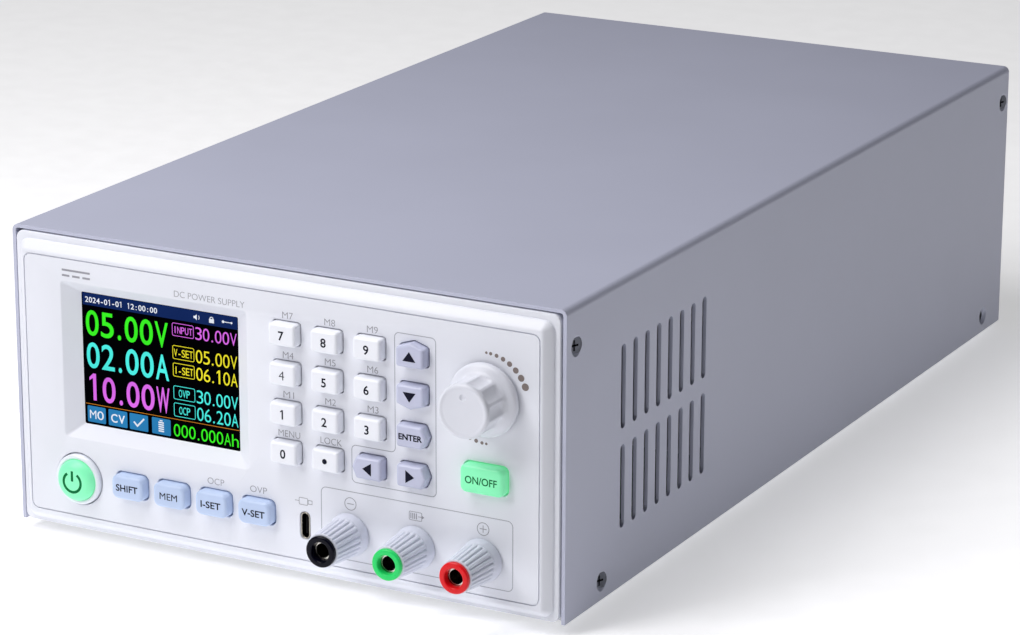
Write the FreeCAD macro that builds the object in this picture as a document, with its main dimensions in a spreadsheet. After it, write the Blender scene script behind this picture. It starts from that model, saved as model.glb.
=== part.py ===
import FreeCAD, Part
import math
import os
import re
import Sketcher

# Bench power supply with a metal wrap-round cover, colour display, keypad,
# push-and-turn knob and three binding posts.  Millimetres, +Z up, the front
# faces -Y.  "out" is the distance in front of the cover's front edge.
SIZES = {
    "case_w": 168.0, "case_h": 84.0, "case_d": 304.0, "sheet_t": 1.0, "bend_r": 1.8,
    "foot_height": 3.0, "foot_r": 7.0, "foot_x": 62.0, "foot_front": 38.0, "foot_back": 266.0,
    "front_y": -144.25,
    # side louvres
    "vent_w": 2.6, "vent_len": 22.9, "vent_y": 32.0, "vent_step": 6.89, "vent_count": 8,
    "vent_z": 27.8, "vent_rise": 27.3,
    # cover screws
    "screw_shank": 1.45, "screw_hole": 1.5, "screw_head": 2.7, "screw_len": 6.0,
    "sunk_t": 1.0, "sunk_gap": 0.05, "cross_len": 2.8, "cross_w": 0.5, "cross_t": 0.6,
    "upper_z": 73.2, "upper_front": 5.4, "upper_back": 299.5,
    "lower_z": 5.2, "lower_front": 20.6, "lower_back": 289.4,
    # chassis and rear panel
    "floor_t": 1.2, "inner_x": 82.7, "flange_z": 12.0, "rear_in": 302.6, "rear_t": 1.2,
    "tray_y": 2.6, "flange_y": 13.0, "rear_h": 82.4, "rear_tab": 11.0, "rear_tab_h": 22.6,
    "foot_hole": 1.8, "guard_step": 6.0, "guard_w": 2.0, "guard_r": 14.5, "spoke_w": 2.4,
    # front bezel
    "rim_w": 165.0, "rim_h": 81.9, "rim_z": 41.35, "rim_out": 0.5, "rim_t": 2.5, "rim_r": 2.2,
    "face_w": 162.0, "face_h": 79.1, "face_z": 41.25, "face_out": 3.3, "face_r": 2.8,
    "face_bevel": 2.0, "wall_in": 0.8, "hollow_w": 156.0, "hollow_h": 73.0, "hollow_r": 2.0,
    "skirt_z": 48.4, "skirt_h": 67.8, "skirt_len": 9.0,
    "line_w": 156.8, "line_h": 72.65, "line_z": 41.375, "line_r": 2.2, "line_gap": 0.3,
    # display
    "lcd_x": -37.5, "lcd_z": 49.45, "lcd_w": 49.4, "lcd_h": 37.1,
    "recess_x": -37.4, "recess_z": 49.35, "recess_w": 58.6, "recess_h": 43.9,
    "boss_w": 63.0, "boss_h": 48.0, "glass_w": 52.0, "glass_h": 39.6, "glass_y": 0.15,
    "glass_t": 0.9, "recess_r": 1.2, "lcd_r": 0.4, "tray_w": 57.0, "tray_h": 43.0,
    # keys
    "col_x": 4.15, "col_step": 12.69, "row_z": 34.9, "row_step": 10.75,
    "key_w": 8.1, "key_h": 6.0, "key_r": 0.7, "key_out": 6.2, "key_gap": 0.25,
    "key_bevel": 0.55, "lip": 0.75, "stem_r": 1.5, "stem_in": 1.2, "shoulder": 5.15,
    "side_shoulder": 7.45, "peak": 1.3, "lip_t": 0.8, "lip_r": 0.8, "switch_y": 2.3,
    "switch_w": 6.0,
    "soft_z": 16.8, "soft_x": -45.2, "soft_step": 13.3, "soft_w": 9.9, "soft_h": 6.7,
    "soft_r": 1.4, "out_x": 63.0, "out_z": 37.3, "out_w": 12.5, "out_h": 7.5, "out_r": 1.4,
    # power button
    "power_x": -62.4, "power_z": 15.9, "power_r": 7.1, "lens_r": 5.8, "power_out": 6.9,
    "lens_gap": 0.05, "flange_w": 1.1, "ring_out": 4.6, "ring_edge": 0.35, "ring_drop": 0.25,
    "dome_low": 0.6, "dome_mid": 0.9, "dome_high": 0.3, "dome_flat": 3.2,
    # encoder and knob
    "dial_x": 63.0, "dial_z": 58.6, "skirt_r": 9.8, "grip_r": 7.2, "cap_r": 7.1,
    "dial_out": 15.8, "dial_base": 4.1, "bush_r": 4.0, "bush_out": 7.8, "shaft_r": 3.0,
    "shaft_out": 14.0, "encoder_w": 12.0, "encoder_y": 0.2, "plunger_r": 2.6,
    "plunger_y": 1.6, "flute_r": 6.0, "flute_x": 5.45, "dimple_r": 0.9, "dimple_z": 3.7,
    "dimple_t": 0.4,
    # binding posts
    "post_x": 22.5, "post_step": 19.65, "post_z": 14.9, "plug_r": 2.0, "stud_r": 3.0,
    "collar_r": 5.9, "post_out": 18.5, "cap_base": 6.5, "cap_front": 17.15,
    "post_hole": 4.05, "bush_hole": 0.05, "stud_out": 16.8, "stud_len": 18.8, "tail_r": 2.4,
    "tail_y": 1.9, "tail_len": 13.0, "nut_r": 4.6, "nut_y": 0.1, "nut_t": 2.2,
    "plug_depth": 15.8, "loose": 0.3, "sleeve_r": 3.85, "sleeve_in": 14.6, "ring_r": 4.25,
    "ring_mouth": 0.6, "ring_lead": 0.45, "ring_throat": 0.35, "ring_in": 17.05, "cap_wide": 5.45,
    "cap_narrow": 4.65, "cap_nose": 4.2, "rib_r": 0.38, "rib_out": 15.0,
    # data socket
    "usb_x": 8.9, "usb_z": 14.95, "usb_w": 2.6, "usb_h": 7.2, "usb_hole_w": 3.1,
    "usb_hole_h": 7.7, "usb_hole_r": 1.4, "usb_r": 1.15, "usb_wall": 0.3, "usb_in": 0.2,
    "tongue_w": 0.6, "tongue_h": 4.8, "tongue_in": 0.8, "usb_depth": 5.1,
    # boards
    "pcb_y": 5.7, "pcb_t": 1.6, "pcb_w": 155.0, "pcb_z": 5.5, "pcb_h": 71.5,
    "board_x": -18.0, "board_y": 58.0, "board_z": 8.0, "board_w": 97.0, "board_d": 185.0,
    "board_t": 1.6, "block_x": 10.0, "block_y": 66.0, "block_w": 54.0, "block_h": 12.0,
    "mount_x": -13.0, "mount_y": 63.0, "mount_w": 87.0, "mount_d": 175.0, "mount_r": 3.0,
    "mount_hole": 1.6, "head_r": 2.8, "head_t": 1.8, "ribbon_x": -8.0, "ribbon_w": 16.0,
    # power parts
    "sink_x": 30.0, "sink_y": 110.0, "sink_w": 36.0, "sink_d": 100.0, "sink_t": 4.0,
    "fin_step": 5.6, "fin_t": 2.4, "fin_h": 34.0, "can_r": 9.0, "can_h": 32.0,
    "coil_r": 10.0, "coil_t": 4.6, "coil_x": 4.0, "coil_y": 165.0,
    "module_x": -78.0, "module_y": 66.0, "module_w": 54.0, "module_d": 170.0,
    "module_h": 44.0, "slot_w": 34.0, "slot_step": 15.0, "slot_t": 5.0,
    # fan
    "fan_x": -38.0, "fan_z": 42.0, "fan_size": 60.0, "fan_t": 20.0, "fan_hole_r": 28.5,
    "hub_r": 13.0, "blade_tip": 27.6, "fan_pitch": 25.0, "fan_hole": 2.1, "fan_screw": 1.65,
    "fan_head_r": 3.0, "fan_head_t": 1.6, "strut_y": 17.0, "strut_t": 3.0, "strut_w": 4.0,
    "strut_r": 29.0, "blade_t": 2.0, "blade_w": 12.0,
    # mains inlet
    "inlet_x": 44.0, "inlet_z": 34.0, "inlet_w": 48.0, "inlet_h": 34.0, "inlet_out": 3.2,
    "barrel_w": 26.8, "barrel_h": 30.8, "barrel_in": 20.0, "mouth_w": 24.0, "mouth_h": 16.4,
    "mouth_z": -3.6, "mouth_in": 14.0, "pin_step": 7.0, "pin_w": 2.0, "pin_h": 4.0,
    "drawer_w": 22.0, "drawer_h": 6.8, "drawer_z": -13.2, "drawer_in": 15.5,
    "drawer_len": 19.7, "drawer_gap": 0.2, "drawer_wall": 1.4,
}

doc = FreeCAD.newDocument("bench_power_supply")
dims = doc.addObject("Spreadsheet::Sheet", "dims")
for row, (alias, value) in enumerate(SIZES.items(), start=1):
    dims.set("A%d" % row, alias)
    dims.set("B%d" % row, str(value))
    dims.setAlias("B%d" % row, alias)
doc.recompute()

NODES = []


def ref(text):
    """Turn sheet names inside an expression into sheet references."""
    return re.sub(r"[a-z][a-z0-9_]*", r"dims.\g<0>", str(text))


def num(text):
    """Value of an expression written with sheet names."""
    return float(dims.evalExpression(ref(text)))


def bind(obj, prop, text):
    """Drive one property from the sheet."""
    obj.setExpression(prop, ref(text))


def vec(x, y, z):
    return FreeCAD.Vector(num(x), num(y), num(z))


def node(obj, label, x="0", out="0", z="0", turn=0.0):
    """Name a finished sub-part and place it in the shared frame."""
    obj.Label = label
    obj.Placement.Rotation = FreeCAD.Rotation(FreeCAD.Vector(0, -1, 0), turn)
    bind(obj, "Placement.Base.x", x)
    bind(obj, "Placement.Base.y", "front_y - (%s)" % out)
    bind(obj, "Placement.Base.z", "foot_height + %s" % z)
    NODES.append(obj)
    return obj


# ---------------------------------------------------------------- primitives
AXES = {
    "x": FreeCAD.Rotation(FreeCAD.Vector(0, 1, 0), 90),
    "y": FreeCAD.Rotation(FreeCAD.Vector(1, 0, 0), -90),
    "z": FreeCAD.Rotation(),
}


def at(obj, x, y, z):
    for key, text in (("x", x), ("y", y), ("z", z)):
        bind(obj, "Placement.Base." + key, text)
    return obj


def box(x, y, z, length, width, height):
    """Box from its low corner."""
    obj = doc.addObject("Part::Box", "Box")
    bind(obj, "Length", length)
    bind(obj, "Width", width)
    bind(obj, "Height", height)
    return at(obj, x, y, z)


def rod(axis, x, y, z, radius, length):
    """Cylinder from its base centre along a positive axis."""
    obj = doc.addObject("Part::Cylinder", "Rod")
    bind(obj, "Radius", radius)
    bind(obj, "Height", length)
    obj.Placement.Rotation = AXES[axis]
    return at(obj, x, y, z)


def cone(axis, x, y, z, radius1, radius2, length):
    obj = doc.addObject("Part::Cone", "Cone")
    bind(obj, "Radius1", radius1)
    bind(obj, "Radius2", radius2)
    bind(obj, "Height", length)
    obj.Placement.Rotation = AXES[axis]
    return at(obj, x, y, z)


def fuse(shapes):
    obj = doc.addObject("Part::MultiFuse", "Union")
    obj.Shapes = shapes
    obj.Refine = True
    return obj


def group(shapes):
    obj = doc.addObject("Part::Compound", "Group")
    obj.Links = shapes
    return obj


def cut(base, tools):
    obj = doc.addObject("Part::Cut", "Difference")
    obj.Base = base
    obj.Tool = tools[0] if len(tools) == 1 else fuse(tools)
    obj.Refine = True
    return obj


# ------------------------------------------------------------ sketched bodies
def new_body(name):
    return doc.addObject("PartDesign::Body", name)


def new_sketch(body, plane, x="0", z="0", out="0"):
    """Sketch on an origin plane; XZ sketches look from the front."""
    sketch = body.newObject("Sketcher::SketchObject", "Sketch")
    planes = {item.Role: item for item in body.Origin.OriginFeatures}
    sketch.AttachmentSupport = [(planes[plane], "")]
    sketch.MapMode = "FlatFace"
    bind(sketch, "AttachmentOffset.Base.x", x)
    bind(sketch, "AttachmentOffset.Base.y", z)
    bind(sketch, "AttachmentOffset.Base.z", out)
    return sketch


def driven(sketch, name, text, *what):
    """Dimension constraint whose value comes from the sheet."""
    index = sketch.addConstraint(Sketcher.Constraint(*what, num(text)))
    sketch.renameConstraint(index, name)
    bind(sketch, "Constraints." + name, text)


def rectangle(sketch, width, height, radius, tag="a"):
    """Rounded rectangle centred on the sketch origin."""
    w, h, r = num(width) / 2, num(height) / 2, num(radius)
    first = sketch.GeometryCount
    sides = (((r - w, -h), (w - r, -h)), ((w, r - h), (w, h - r)),
             ((w - r, h), (r - w, h)), ((-w, h - r), (-w, r - h)))
    for start, end in sides:
        line = Part.LineSegment(FreeCAD.Vector(*start, 0), FreeCAD.Vector(*end, 0))
        sketch.addGeometry(line, False)
    corners = ((w - r, r - h, -90), (w - r, h - r, 0), (r - w, h - r, 90), (r - w, r - h, 180))
    for x, z, angle in corners:
        circle = Part.Circle(FreeCAD.Vector(x, z, 0), FreeCAD.Vector(0, 0, 1), r)
        start = math.radians(angle)
        sketch.addGeometry(Part.ArcOfCircle(circle, start, start + math.pi / 2), False)
    for i in range(4):
        arc = first + 4 + i
        sketch.addConstraint(Sketcher.Constraint("Tangent", first + i, 2, arc, 1))
        sketch.addConstraint(Sketcher.Constraint("Tangent", arc, 2, first + (i + 1) % 4, 1))
        kind = "Horizontal" if i % 2 == 0 else "Vertical"
        sketch.addConstraint(Sketcher.Constraint(kind, first + i))
    for i in range(1, 4):
        sketch.addConstraint(Sketcher.Constraint("Equal", first + 4, first + 4 + i))
    sketch.addConstraint(Sketcher.Constraint("Symmetric", first + 4, 3, first + 6, 3, -1, 1))
    driven(sketch, tag + "_r", radius, "Radius", first + 4)
    driven(sketch, tag + "_w", "%s - 2*(%s)" % (width, radius), "DistanceX", first, 1, first, 2)
    driven(sketch, tag + "_h", "%s - 2*(%s)" % (height, radius), "DistanceY",
           first + 1, 1, first + 1, 2)
    return sketch


def circle(sketch, radius):
    geometry = Part.Circle(FreeCAD.Vector(), FreeCAD.Vector(0, 0, 1), num(radius))
    index = sketch.addGeometry(geometry, False)
    sketch.addConstraint(Sketcher.Constraint("Coincident", index, 3, -1, 1))
    driven(sketch, "radius%d" % index, radius, "Radius", index)
    return sketch


def polygon(sketch, points):
    """Closed outline; every corner is dimensioned from the origin."""
    values = [(num(x), num(z)) for x, z in points]
    count = len(points)
    for i in range(count):
        start = FreeCAD.Vector(*values[i], 0)
        end = FreeCAD.Vector(*values[(i + 1) % count], 0)
        sketch.addGeometry(Part.LineSegment(start, end), False)
    for i in range(count):
        sketch.addConstraint(Sketcher.Constraint("Coincident", i, 2, (i + 1) % count, 1))
    for i, (x, z) in enumerate(points):
        if values[i][0]:
            driven(sketch, "x%d" % i, x, "DistanceX", -1, 1, i, 1)
        else:
            sketch.addConstraint(Sketcher.Constraint("PointOnObject", i, 1, -2))
        if values[i][1]:
            driven(sketch, "z%d" % i, z, "DistanceY", -1, 1, i, 1)
        else:
            sketch.addConstraint(Sketcher.Constraint("PointOnObject", i, 1, -1))
    return sketch


def pad(body, sketch, length, inward=False):
    """Grow a sketch towards the front, or inward when asked."""
    feature = body.newObject("PartDesign::Pad", "Pad")
    feature.Profile = sketch
    bind(feature, "Length", length)
    feature.Reversed = inward
    body.Tip = feature
    return feature


def pocket(body, sketch, length, both=False):
    """Cut a sketch inward from its plane, or to both sides."""
    feature = body.newObject("PartDesign::Pocket", "Pocket")
    feature.Profile = sketch
    bind(feature, "Length", length)
    if both:
        feature.SideType = "Symmetric"
    body.Tip = feature
    return feature


def turned(body, points):
    """Revolve an outline of (radius, out) corners about the Y axis."""
    sketch = new_sketch(body, "XY_Plane")
    polygon(sketch, [(radius, "-(%s)" % out) for radius, out in points])
    feature = body.newObject("PartDesign::Revolution", "Revolution")
    feature.Profile = sketch
    feature.ReferenceAxis = (sketch, ["V_Axis"])
    feature.Angle = 360.0
    body.Tip = feature
    return feature


def repeat(body, feature, sketch, columns, step_x, rows, step_z):
    pattern = body.newObject("PartDesign::LinearPattern", "Pattern")
    pattern.Originals = [feature]
    pattern.Direction = (sketch, ["H_Axis"])
    bind(pattern, "Length", "(%s - 1)*(%s)" % (columns, step_x))
    bind(pattern, "Occurrences", columns)
    pattern.Direction2 = (sketch, ["V_Axis"])
    bind(pattern, "Length2", "(%s - 1)*(%s)" % (rows, step_z))
    bind(pattern, "Occurrences2", rows)
    body.Tip = pattern


def around(body, feature, sketch, count):
    pattern = body.newObject("PartDesign::PolarPattern", "Ring")
    pattern.Originals = [feature]
    pattern.Axis = (sketch, ["N_Axis"])
    pattern.Angle = 360.0
    pattern.Occurrences = count
    body.Tip = pattern


def edges_at(feature, out):
    """Names of the edges lying wholly in the plane at this distance out."""
    y = -num(out)
    doc.recompute()
    found = []
    for index, edge in enumerate(feature.Shape.Edges, start=1):
        span = edge.BoundBox
        if abs(span.YMin - y) < 0.01 and abs(span.YMax - y) < 0.01:
            found.append("Edge%d" % index)
    return found


def bevel(body, feature, out, size, kind="Chamfer"):
    """Chamfer or round the edges in one plane."""
    names = edges_at(feature, out)
    result = body.newObject("PartDesign::" + kind, kind)
    result.Base = (feature, names)
    bind(result, "Radius" if kind == "Fillet" else "Size", size)
    body.Tip = result
    return result


# ------------------------------------------------------------------ enclosure
def side_screws(spots, make):
    """One item per side for each (y, z) spot."""
    items = []
    for y, z in spots:
        for side in (-1, 1):
            items += make(side, y, z)
    return items


SCREW_SPOTS = (("upper_front", "upper_z"), ("lower_front", "lower_z"),
               ("upper_back", "upper_z"))
HOLE_SPOTS = SCREW_SPOTS + (("lower_back", "lower_z"),)


def countersink(side, y, z):
    if side < 0:
        return [cone("x", "-case_w/2 - 0.01", y, z, "screw_head + 0.1", "screw_hole + 0.1",
                     "sheet_t + 0.02")]
    return [cone("x", "case_w/2 - sheet_t - 0.01", y, z, "screw_hole + 0.1",
                 "screw_head + 0.1", "sheet_t + 0.02")]


def top_cover():
    body = new_body("CoverSheet")
    outer = new_sketch(body, "XZ_Plane", "0", "case_h/2")
    rectangle(outer, "case_w", "case_h", "bend_r")
    pad(body, outer, "case_d", inward=True)
    square = new_sketch(body, "XZ_Plane", "0", "bend_r/2 + 0.2")
    rectangle(square, "case_w", "bend_r + 0.4", "0.05")
    pad(body, square, "case_d", inward=True)
    inner = new_sketch(body, "XZ_Plane", "0", "(case_h - sheet_t)/2 - 10", "1")
    rectangle(inner, "case_w - 2*sheet_t", "case_h - sheet_t + 20", "bend_r - sheet_t")
    pocket(body, inner, "case_d + 2")
    slot = new_sketch(body, "YZ_Plane", "vent_y", "vent_z")
    rectangle(slot, "vent_w", "vent_len", "vent_w/2 - 0.02")
    slots = pocket(body, slot, "case_w + 10", both=True)
    repeat(body, slots, slot, "vent_count", "vent_step", "2", "vent_rise")
    return node(cut(body, side_screws(HOLE_SPOTS, countersink)), "top_cover")


def flange_hole(side, y, z):
    return [rod("x", "%d*case_w/2 - 10" % side, y, z, "screw_hole", "20")]


def bottom_chassis():
    parts = [box("-inner_x", "tray_y", "0", "2*inner_x", "rear_in - tray_y", "floor_t")]
    for x in ("-inner_x", "inner_x - floor_t"):
        parts.append(box(x, "flange_y", "0", "floor_t", "rear_in - flange_y", "flange_z"))
    holes = side_screws((("lower_front", "lower_z"), ("lower_back", "lower_z")), flange_hole)
    for y in ("foot_front", "foot_back"):
        for x in ("-foot_x", "foot_x"):
            holes.append(rod("z", x, y, "-1", "foot_hole", "floor_t + 2"))
    return node(cut(fuse(parts), holes), "bottom_chassis")


def rear_panel():
    parts = [box("-inner_x", "rear_in", "0.2", "2*inner_x", "rear_t", "rear_h")]
    for x in ("-inner_x", "inner_x - floor_t"):
        parts.append(box(x, "rear_in - rear_tab", "0.2 + rear_h - rear_tab_h", "floor_t",
                         "rear_tab", "rear_tab_h"))
    holes = side_screws((("upper_back", "upper_z"),), flange_hole)
    holes += fan_corner_rods("rear_in - 1", "1.7", "4")
    holes.append(box("inlet_x - barrel_w/2 - 0.2", "rear_in - 1", "inlet_z - barrel_h/2 - 0.2",
                     "barrel_w + 0.4", "4", "barrel_h + 0.4"))
    body = new_body("GuardRings")
    sketch = new_sketch(body, "XZ_Plane", "fan_x", "fan_z", "-rear_in - rear_t - 1")
    circle(sketch, "fan_hole_r - 1")
    pad(body, sketch, "4")
    rings = [rod("y", "fan_x", "rear_in - 1", "fan_z", "guard_r - 4.5", "4")]
    for index in range(3):
        radius = "guard_r + %d*guard_step" % index
        outer = rod("y", "fan_x", "rear_in - 1", "fan_z", "%s + guard_w/2" % radius, "4")
        inner = rod("y", "fan_x", "rear_in - 2", "fan_z", "%s - guard_w/2" % radius, "6")
        rings.append(cut(outer, [inner]))
    rings.append(box("fan_x - fan_size/2", "rear_in - 1", "fan_z - spoke_w/2", "fan_size", "4",
                     "spoke_w"))
    rings.append(box("fan_x - spoke_w/2", "rear_in - 1", "fan_z - fan_size/2", "spoke_w", "4",
                     "fan_size"))
    holes.append(cut(body, [fuse(rings)]))
    return node(cut(fuse(parts), holes), "rear_panel")


def fan_corner_rods(y, radius, length):
    items = []
    for x in ("fan_x - fan_pitch", "fan_x + fan_pitch"):
        for z in ("fan_z - fan_pitch", "fan_z + fan_pitch"):
            items.append(rod("y", x, y, z, radius, length))
    return items


def cover_screws():
    def one(side, y, z):
        if side > 0:
            head = cone("x", "case_w/2 - sunk_gap - sunk_t", y, z, "screw_shank", "screw_head",
                        "sunk_t")
            shank = rod("x", "case_w/2 - screw_len", y, z, "screw_shank", "screw_len - sunk_t")
            cross_x = "case_w/2 - sunk_gap - cross_t"
        else:
            head = cone("x", "-case_w/2 + sunk_gap", y, z, "screw_head", "screw_shank",
                        "sunk_t")
            shank = rod("x", "-case_w/2 + sunk_t", y, z, "screw_shank", "screw_len - sunk_t")
            cross_x = "-case_w/2 + sunk_gap + cross_t - 1"
        cross = [box(cross_x, "%s - cross_len/2" % y, "%s - cross_w/2" % z, "1", "cross_len",
                     "cross_w"),
                 box(cross_x, "%s - cross_w/2" % y, "%s - cross_len/2" % z, "1", "cross_w",
                     "cross_len")]
        return [cut(fuse([head, shank]), cross)]
    return node(group(side_screws(SCREW_SPOTS, one)), "cover_screws")


def rubber_feet():
    feet = []
    for y in ("foot_front", "foot_back"):
        for x in ("-foot_x", "foot_x"):
            pad_part = cone("z", x, y, "-foot_height", "foot_r - 0.6", "foot_r", "foot_height")
            plug = rod("z", x, y, "-0.5", "1.75", "2.6")
            feet.append(fuse([pad_part, plug]))
    return node(group(feet), "rubber_feet")


# ---------------------------------------------------------------- front bezel
KEY_HOLE = ("key_w + 2*key_gap", "key_h + 2*key_gap", "key_r + key_gap")
POINTED = (
    ("up_key", "col_x + 3*col_step", "row_z + 3*row_step", 0.0),
    ("down_key", "col_x + 3*col_step", "row_z + 2*row_step", 180.0),
    ("enter_key", "col_x + 3*col_step", "row_z + row_step", 90.0),
    ("right_key", "col_x + 3*col_step", "row_z", 90.0),
    ("left_key", "col_x + 2*col_step", "row_z", -90.0),
)


def pointed_outline(grow, sideways):
    """House-shaped outline; sideways keys swap width and height."""
    across, base = ("key_h", "key_w") if sideways else ("key_w", "key_h")
    x = "%s/2 + %s" % (across, grow)
    low = "-%s/2 - %s" % (base, grow)
    rise = "side_shoulder" if sideways else "shoulder"
    top = "%s - %s/2 + %s" % (rise, base, grow)
    return [("-(%s)" % x, low), (x, low), (x, top), ("0", "%s + peak" % top),
            ("-(%s)" % x, top)]


def turned_points(points, turn):
    """Rotate an outline by quarter turns, clockwise as seen from the front."""
    result = []
    for x, z in points:
        if turn == 0.0:
            result.append((x, z))
        elif turn == 180.0:
            result.append(("-(%s)" % x, "-(%s)" % z))
        elif turn == 90.0:
            result.append((z, "-(%s)" % x))
        else:
            result.append(("-(%s)" % z, x))
    return result


def front_bezel():
    body = new_body("Bezel")
    rim = new_sketch(body, "XZ_Plane", "0", "rim_z", "rim_out")
    rectangle(rim, "rim_w", "rim_h", "rim_r")
    pad(body, rim, "rim_t", inward=True)
    skirt = new_sketch(body, "XZ_Plane", "0", "skirt_z", "rim_out - rim_t + 0.1")
    rectangle(skirt, "rim_w", "skirt_h", "rim_r")
    pad(body, skirt, "skirt_len", inward=True)
    face = new_sketch(body, "XZ_Plane", "0", "face_z", "rim_out")
    rectangle(face, "face_w", "face_h", "face_r")
    raised = pad(body, face, "face_out - rim_out")
    bevel(body, raised, "face_out", "face_bevel")
    hollow = new_sketch(body, "XZ_Plane", "0", "face_z", "-15")
    rectangle(hollow, "hollow_w", "hollow_h", "hollow_r")
    inside = body.newObject("PartDesign::Pocket", "Hollow")
    inside.Profile = hollow
    bind(inside, "Length", "15 + wall_in")
    inside.Reversed = True
    body.Tip = inside
    boss = new_sketch(body, "XZ_Plane", "lcd_x", "lcd_z", "0")
    rectangle(boss, "boss_w", "boss_h", "1.5")
    pad(body, boss, "wall_in + 0.5")
    wide = new_sketch(body, "XZ_Plane", "recess_x", "recess_z", "face_out")
    rectangle(wide, "recess_w", "recess_h", "recess_r")
    narrow = new_sketch(body, "XZ_Plane", "lcd_x", "lcd_z", "0")
    rectangle(narrow, "lcd_w", "lcd_h", "lcd_r")
    recess = body.newObject("PartDesign::SubtractiveLoft", "Recess")
    recess.Profile = wide
    recess.Sections = [narrow]
    recess.Ruled = True
    body.Tip = recess

    def hole(shape, x, z, *sizes):
        sketch = new_sketch(body, "XZ_Plane", x, z, "face_out")
        shape(sketch, *sizes)
        return pocket(body, sketch, "face_out - wall_in + 0.4"), sketch

    digits, grid = hole(rectangle, "col_x", "row_z + row_step", *KEY_HOLE)
    repeat(body, digits, grid, "3", "col_step", "3", "row_step")
    for column in ("0", "1"):
        hole(rectangle, "col_x + %s*col_step" % column, "row_z", *KEY_HOLE)
    for name, x, z, turn in POINTED:
        outline = pointed_outline("key_gap", name in ("enter_key", "right_key", "left_key"))
        hole(polygon, x, z, turned_points(outline, turn))
    soft, line = hole(rectangle, "soft_x", "soft_z", "soft_w + 2*key_gap",
                      "soft_h + 2*key_gap", "soft_r + key_gap")
    repeat(body, soft, line, "4", "soft_step", "1", "0")
    hole(rectangle, "out_x", "out_z", "out_w + 2*key_gap", "out_h + 2*key_gap",
         "out_r + key_gap")
    hole(rectangle, "usb_x", "usb_z", "usb_hole_w", "usb_hole_h", "usb_hole_r")
    hole(circle, "power_x", "power_z", "power_r + 0.3")
    hole(circle, "dial_x", "dial_z", "bush_r + 0.3")
    post, posts = hole(circle, "post_x", "post_z", "post_hole")
    repeat(body, post, posts, "3", "post_step", "1", "0")
    groove = new_sketch(body, "XZ_Plane", "0", "line_z", "face_out")
    rectangle(groove, "line_w", "line_h", "line_r")
    rectangle(groove, "line_w - 2*line_gap", "line_h - 2*line_gap", "line_r - line_gap", "b")
    pocket(body, groove, "0.3")
    holes = side_screws((("upper_front", "upper_z"),), flange_hole)
    return node(cut(body, holes), "front_bezel")


# ----------------------------------------------------------------------- keys
def finish_key(body, label, cap, x, z, lip_shape, out="key_out"):
    """Bevel the cap, then add the retaining lip and the stem."""
    bevel(body, cap, out, "key_bevel")
    lip = new_sketch(body, "XZ_Plane", "0", "0", "wall_in - 0.1")
    lip_shape(lip)
    pad(body, lip, "lip_t", inward=True)
    stem = new_sketch(body, "XZ_Plane", "0", "0", "0")
    circle(stem, "stem_r")
    pad(body, stem, "stem_in", inward=True)
    return node(body, label, x, "0", z)


def flat_key(label, x, z, w, h, r):
    body = new_body("Key")
    sketch = new_sketch(body, "XZ_Plane", "0", "0", "0")
    rectangle(sketch, w, h, r)
    cap = pad(body, sketch, "key_out")

    def lip(shape):
        rectangle(shape, "%s + 2*key_gap + 2*lip" % w, "%s + 2*key_gap + 2*lip" % h, "lip_r")
    return finish_key(body, label, cap, x, z, lip)


def pointed_key(label, x, z, turn):
    body = new_body("Key")
    sideways = turn in (90.0, -90.0)
    sketch = new_sketch(body, "XZ_Plane", "0", "0", "0")
    polygon(sketch, turned_points(pointed_outline("0", sideways), turn))
    cap = pad(body, sketch, "key_out")

    def lip(shape):
        polygon(shape, turned_points(pointed_outline("(key_gap + lip)", sideways), turn))
    return finish_key(body, label, cap, x, z, lip)


def number_keys():
    names = (("key_0", "key_point", None), ("key_1", "key_2", "key_3"),
             ("key_4", "key_5", "key_6"), ("key_7", "key_8", "key_9"))
    for row, labels in enumerate(names):
        for column, label in enumerate(labels):
            if label:
                flat_key(label, "col_x + %d*col_step" % column,
                         "row_z + %d*row_step" % row, "key_w", "key_h", "key_r")


def arrow_keys():
    for name, x, z, turn in POINTED:
        pointed_key(name, x, z, turn)


def function_keys():
    for index, label in enumerate(("shift_key", "memory_key", "current_key", "voltage_key")):
        flat_key(label, "soft_x + %d*soft_step" % index, "soft_z", "soft_w", "soft_h", "soft_r")
    flat_key("output_key", "out_x", "out_z", "out_w", "out_h", "out_r")


def power_button():
    ring = new_body("PowerRing")
    turned(ring, (("lens_r + lens_gap", "-0.1"), ("power_r + flange_w", "-0.1"),
                  ("power_r + flange_w", "wall_in - 0.1"), ("power_r", "wall_in - 0.1"),
                  ("power_r", "ring_out - 2*ring_edge"),
                  ("power_r - ring_drop", "ring_out - ring_drop"),
                  ("power_r - 2*ring_edge", "ring_out"),
                  ("lens_r + lens_gap + 0.15", "ring_out"),
                  ("lens_r + lens_gap", "ring_out - 0.15")))
    node(ring, "power_button_ring", "power_x", "0", "power_z")
    lens = new_body("PowerLens")
    turned(lens, (("0", "-stem_in"), ("stem_r", "-stem_in"), ("stem_r", "-0.1"),
                  ("lens_r", "-0.1"), ("lens_r", "ring_out - 0.3"),
                  ("lens_r - 0.4", "ring_out + dome_low"),
                  ("lens_r - 1.0", "power_out - dome_mid"),
                  ("lens_r - 2.0", "power_out - dome_high"),
                  ("lens_r - dome_flat", "power_out"), ("0", "power_out")))
    node(lens, "power_button_lens", "power_x", "0", "power_z")


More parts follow.
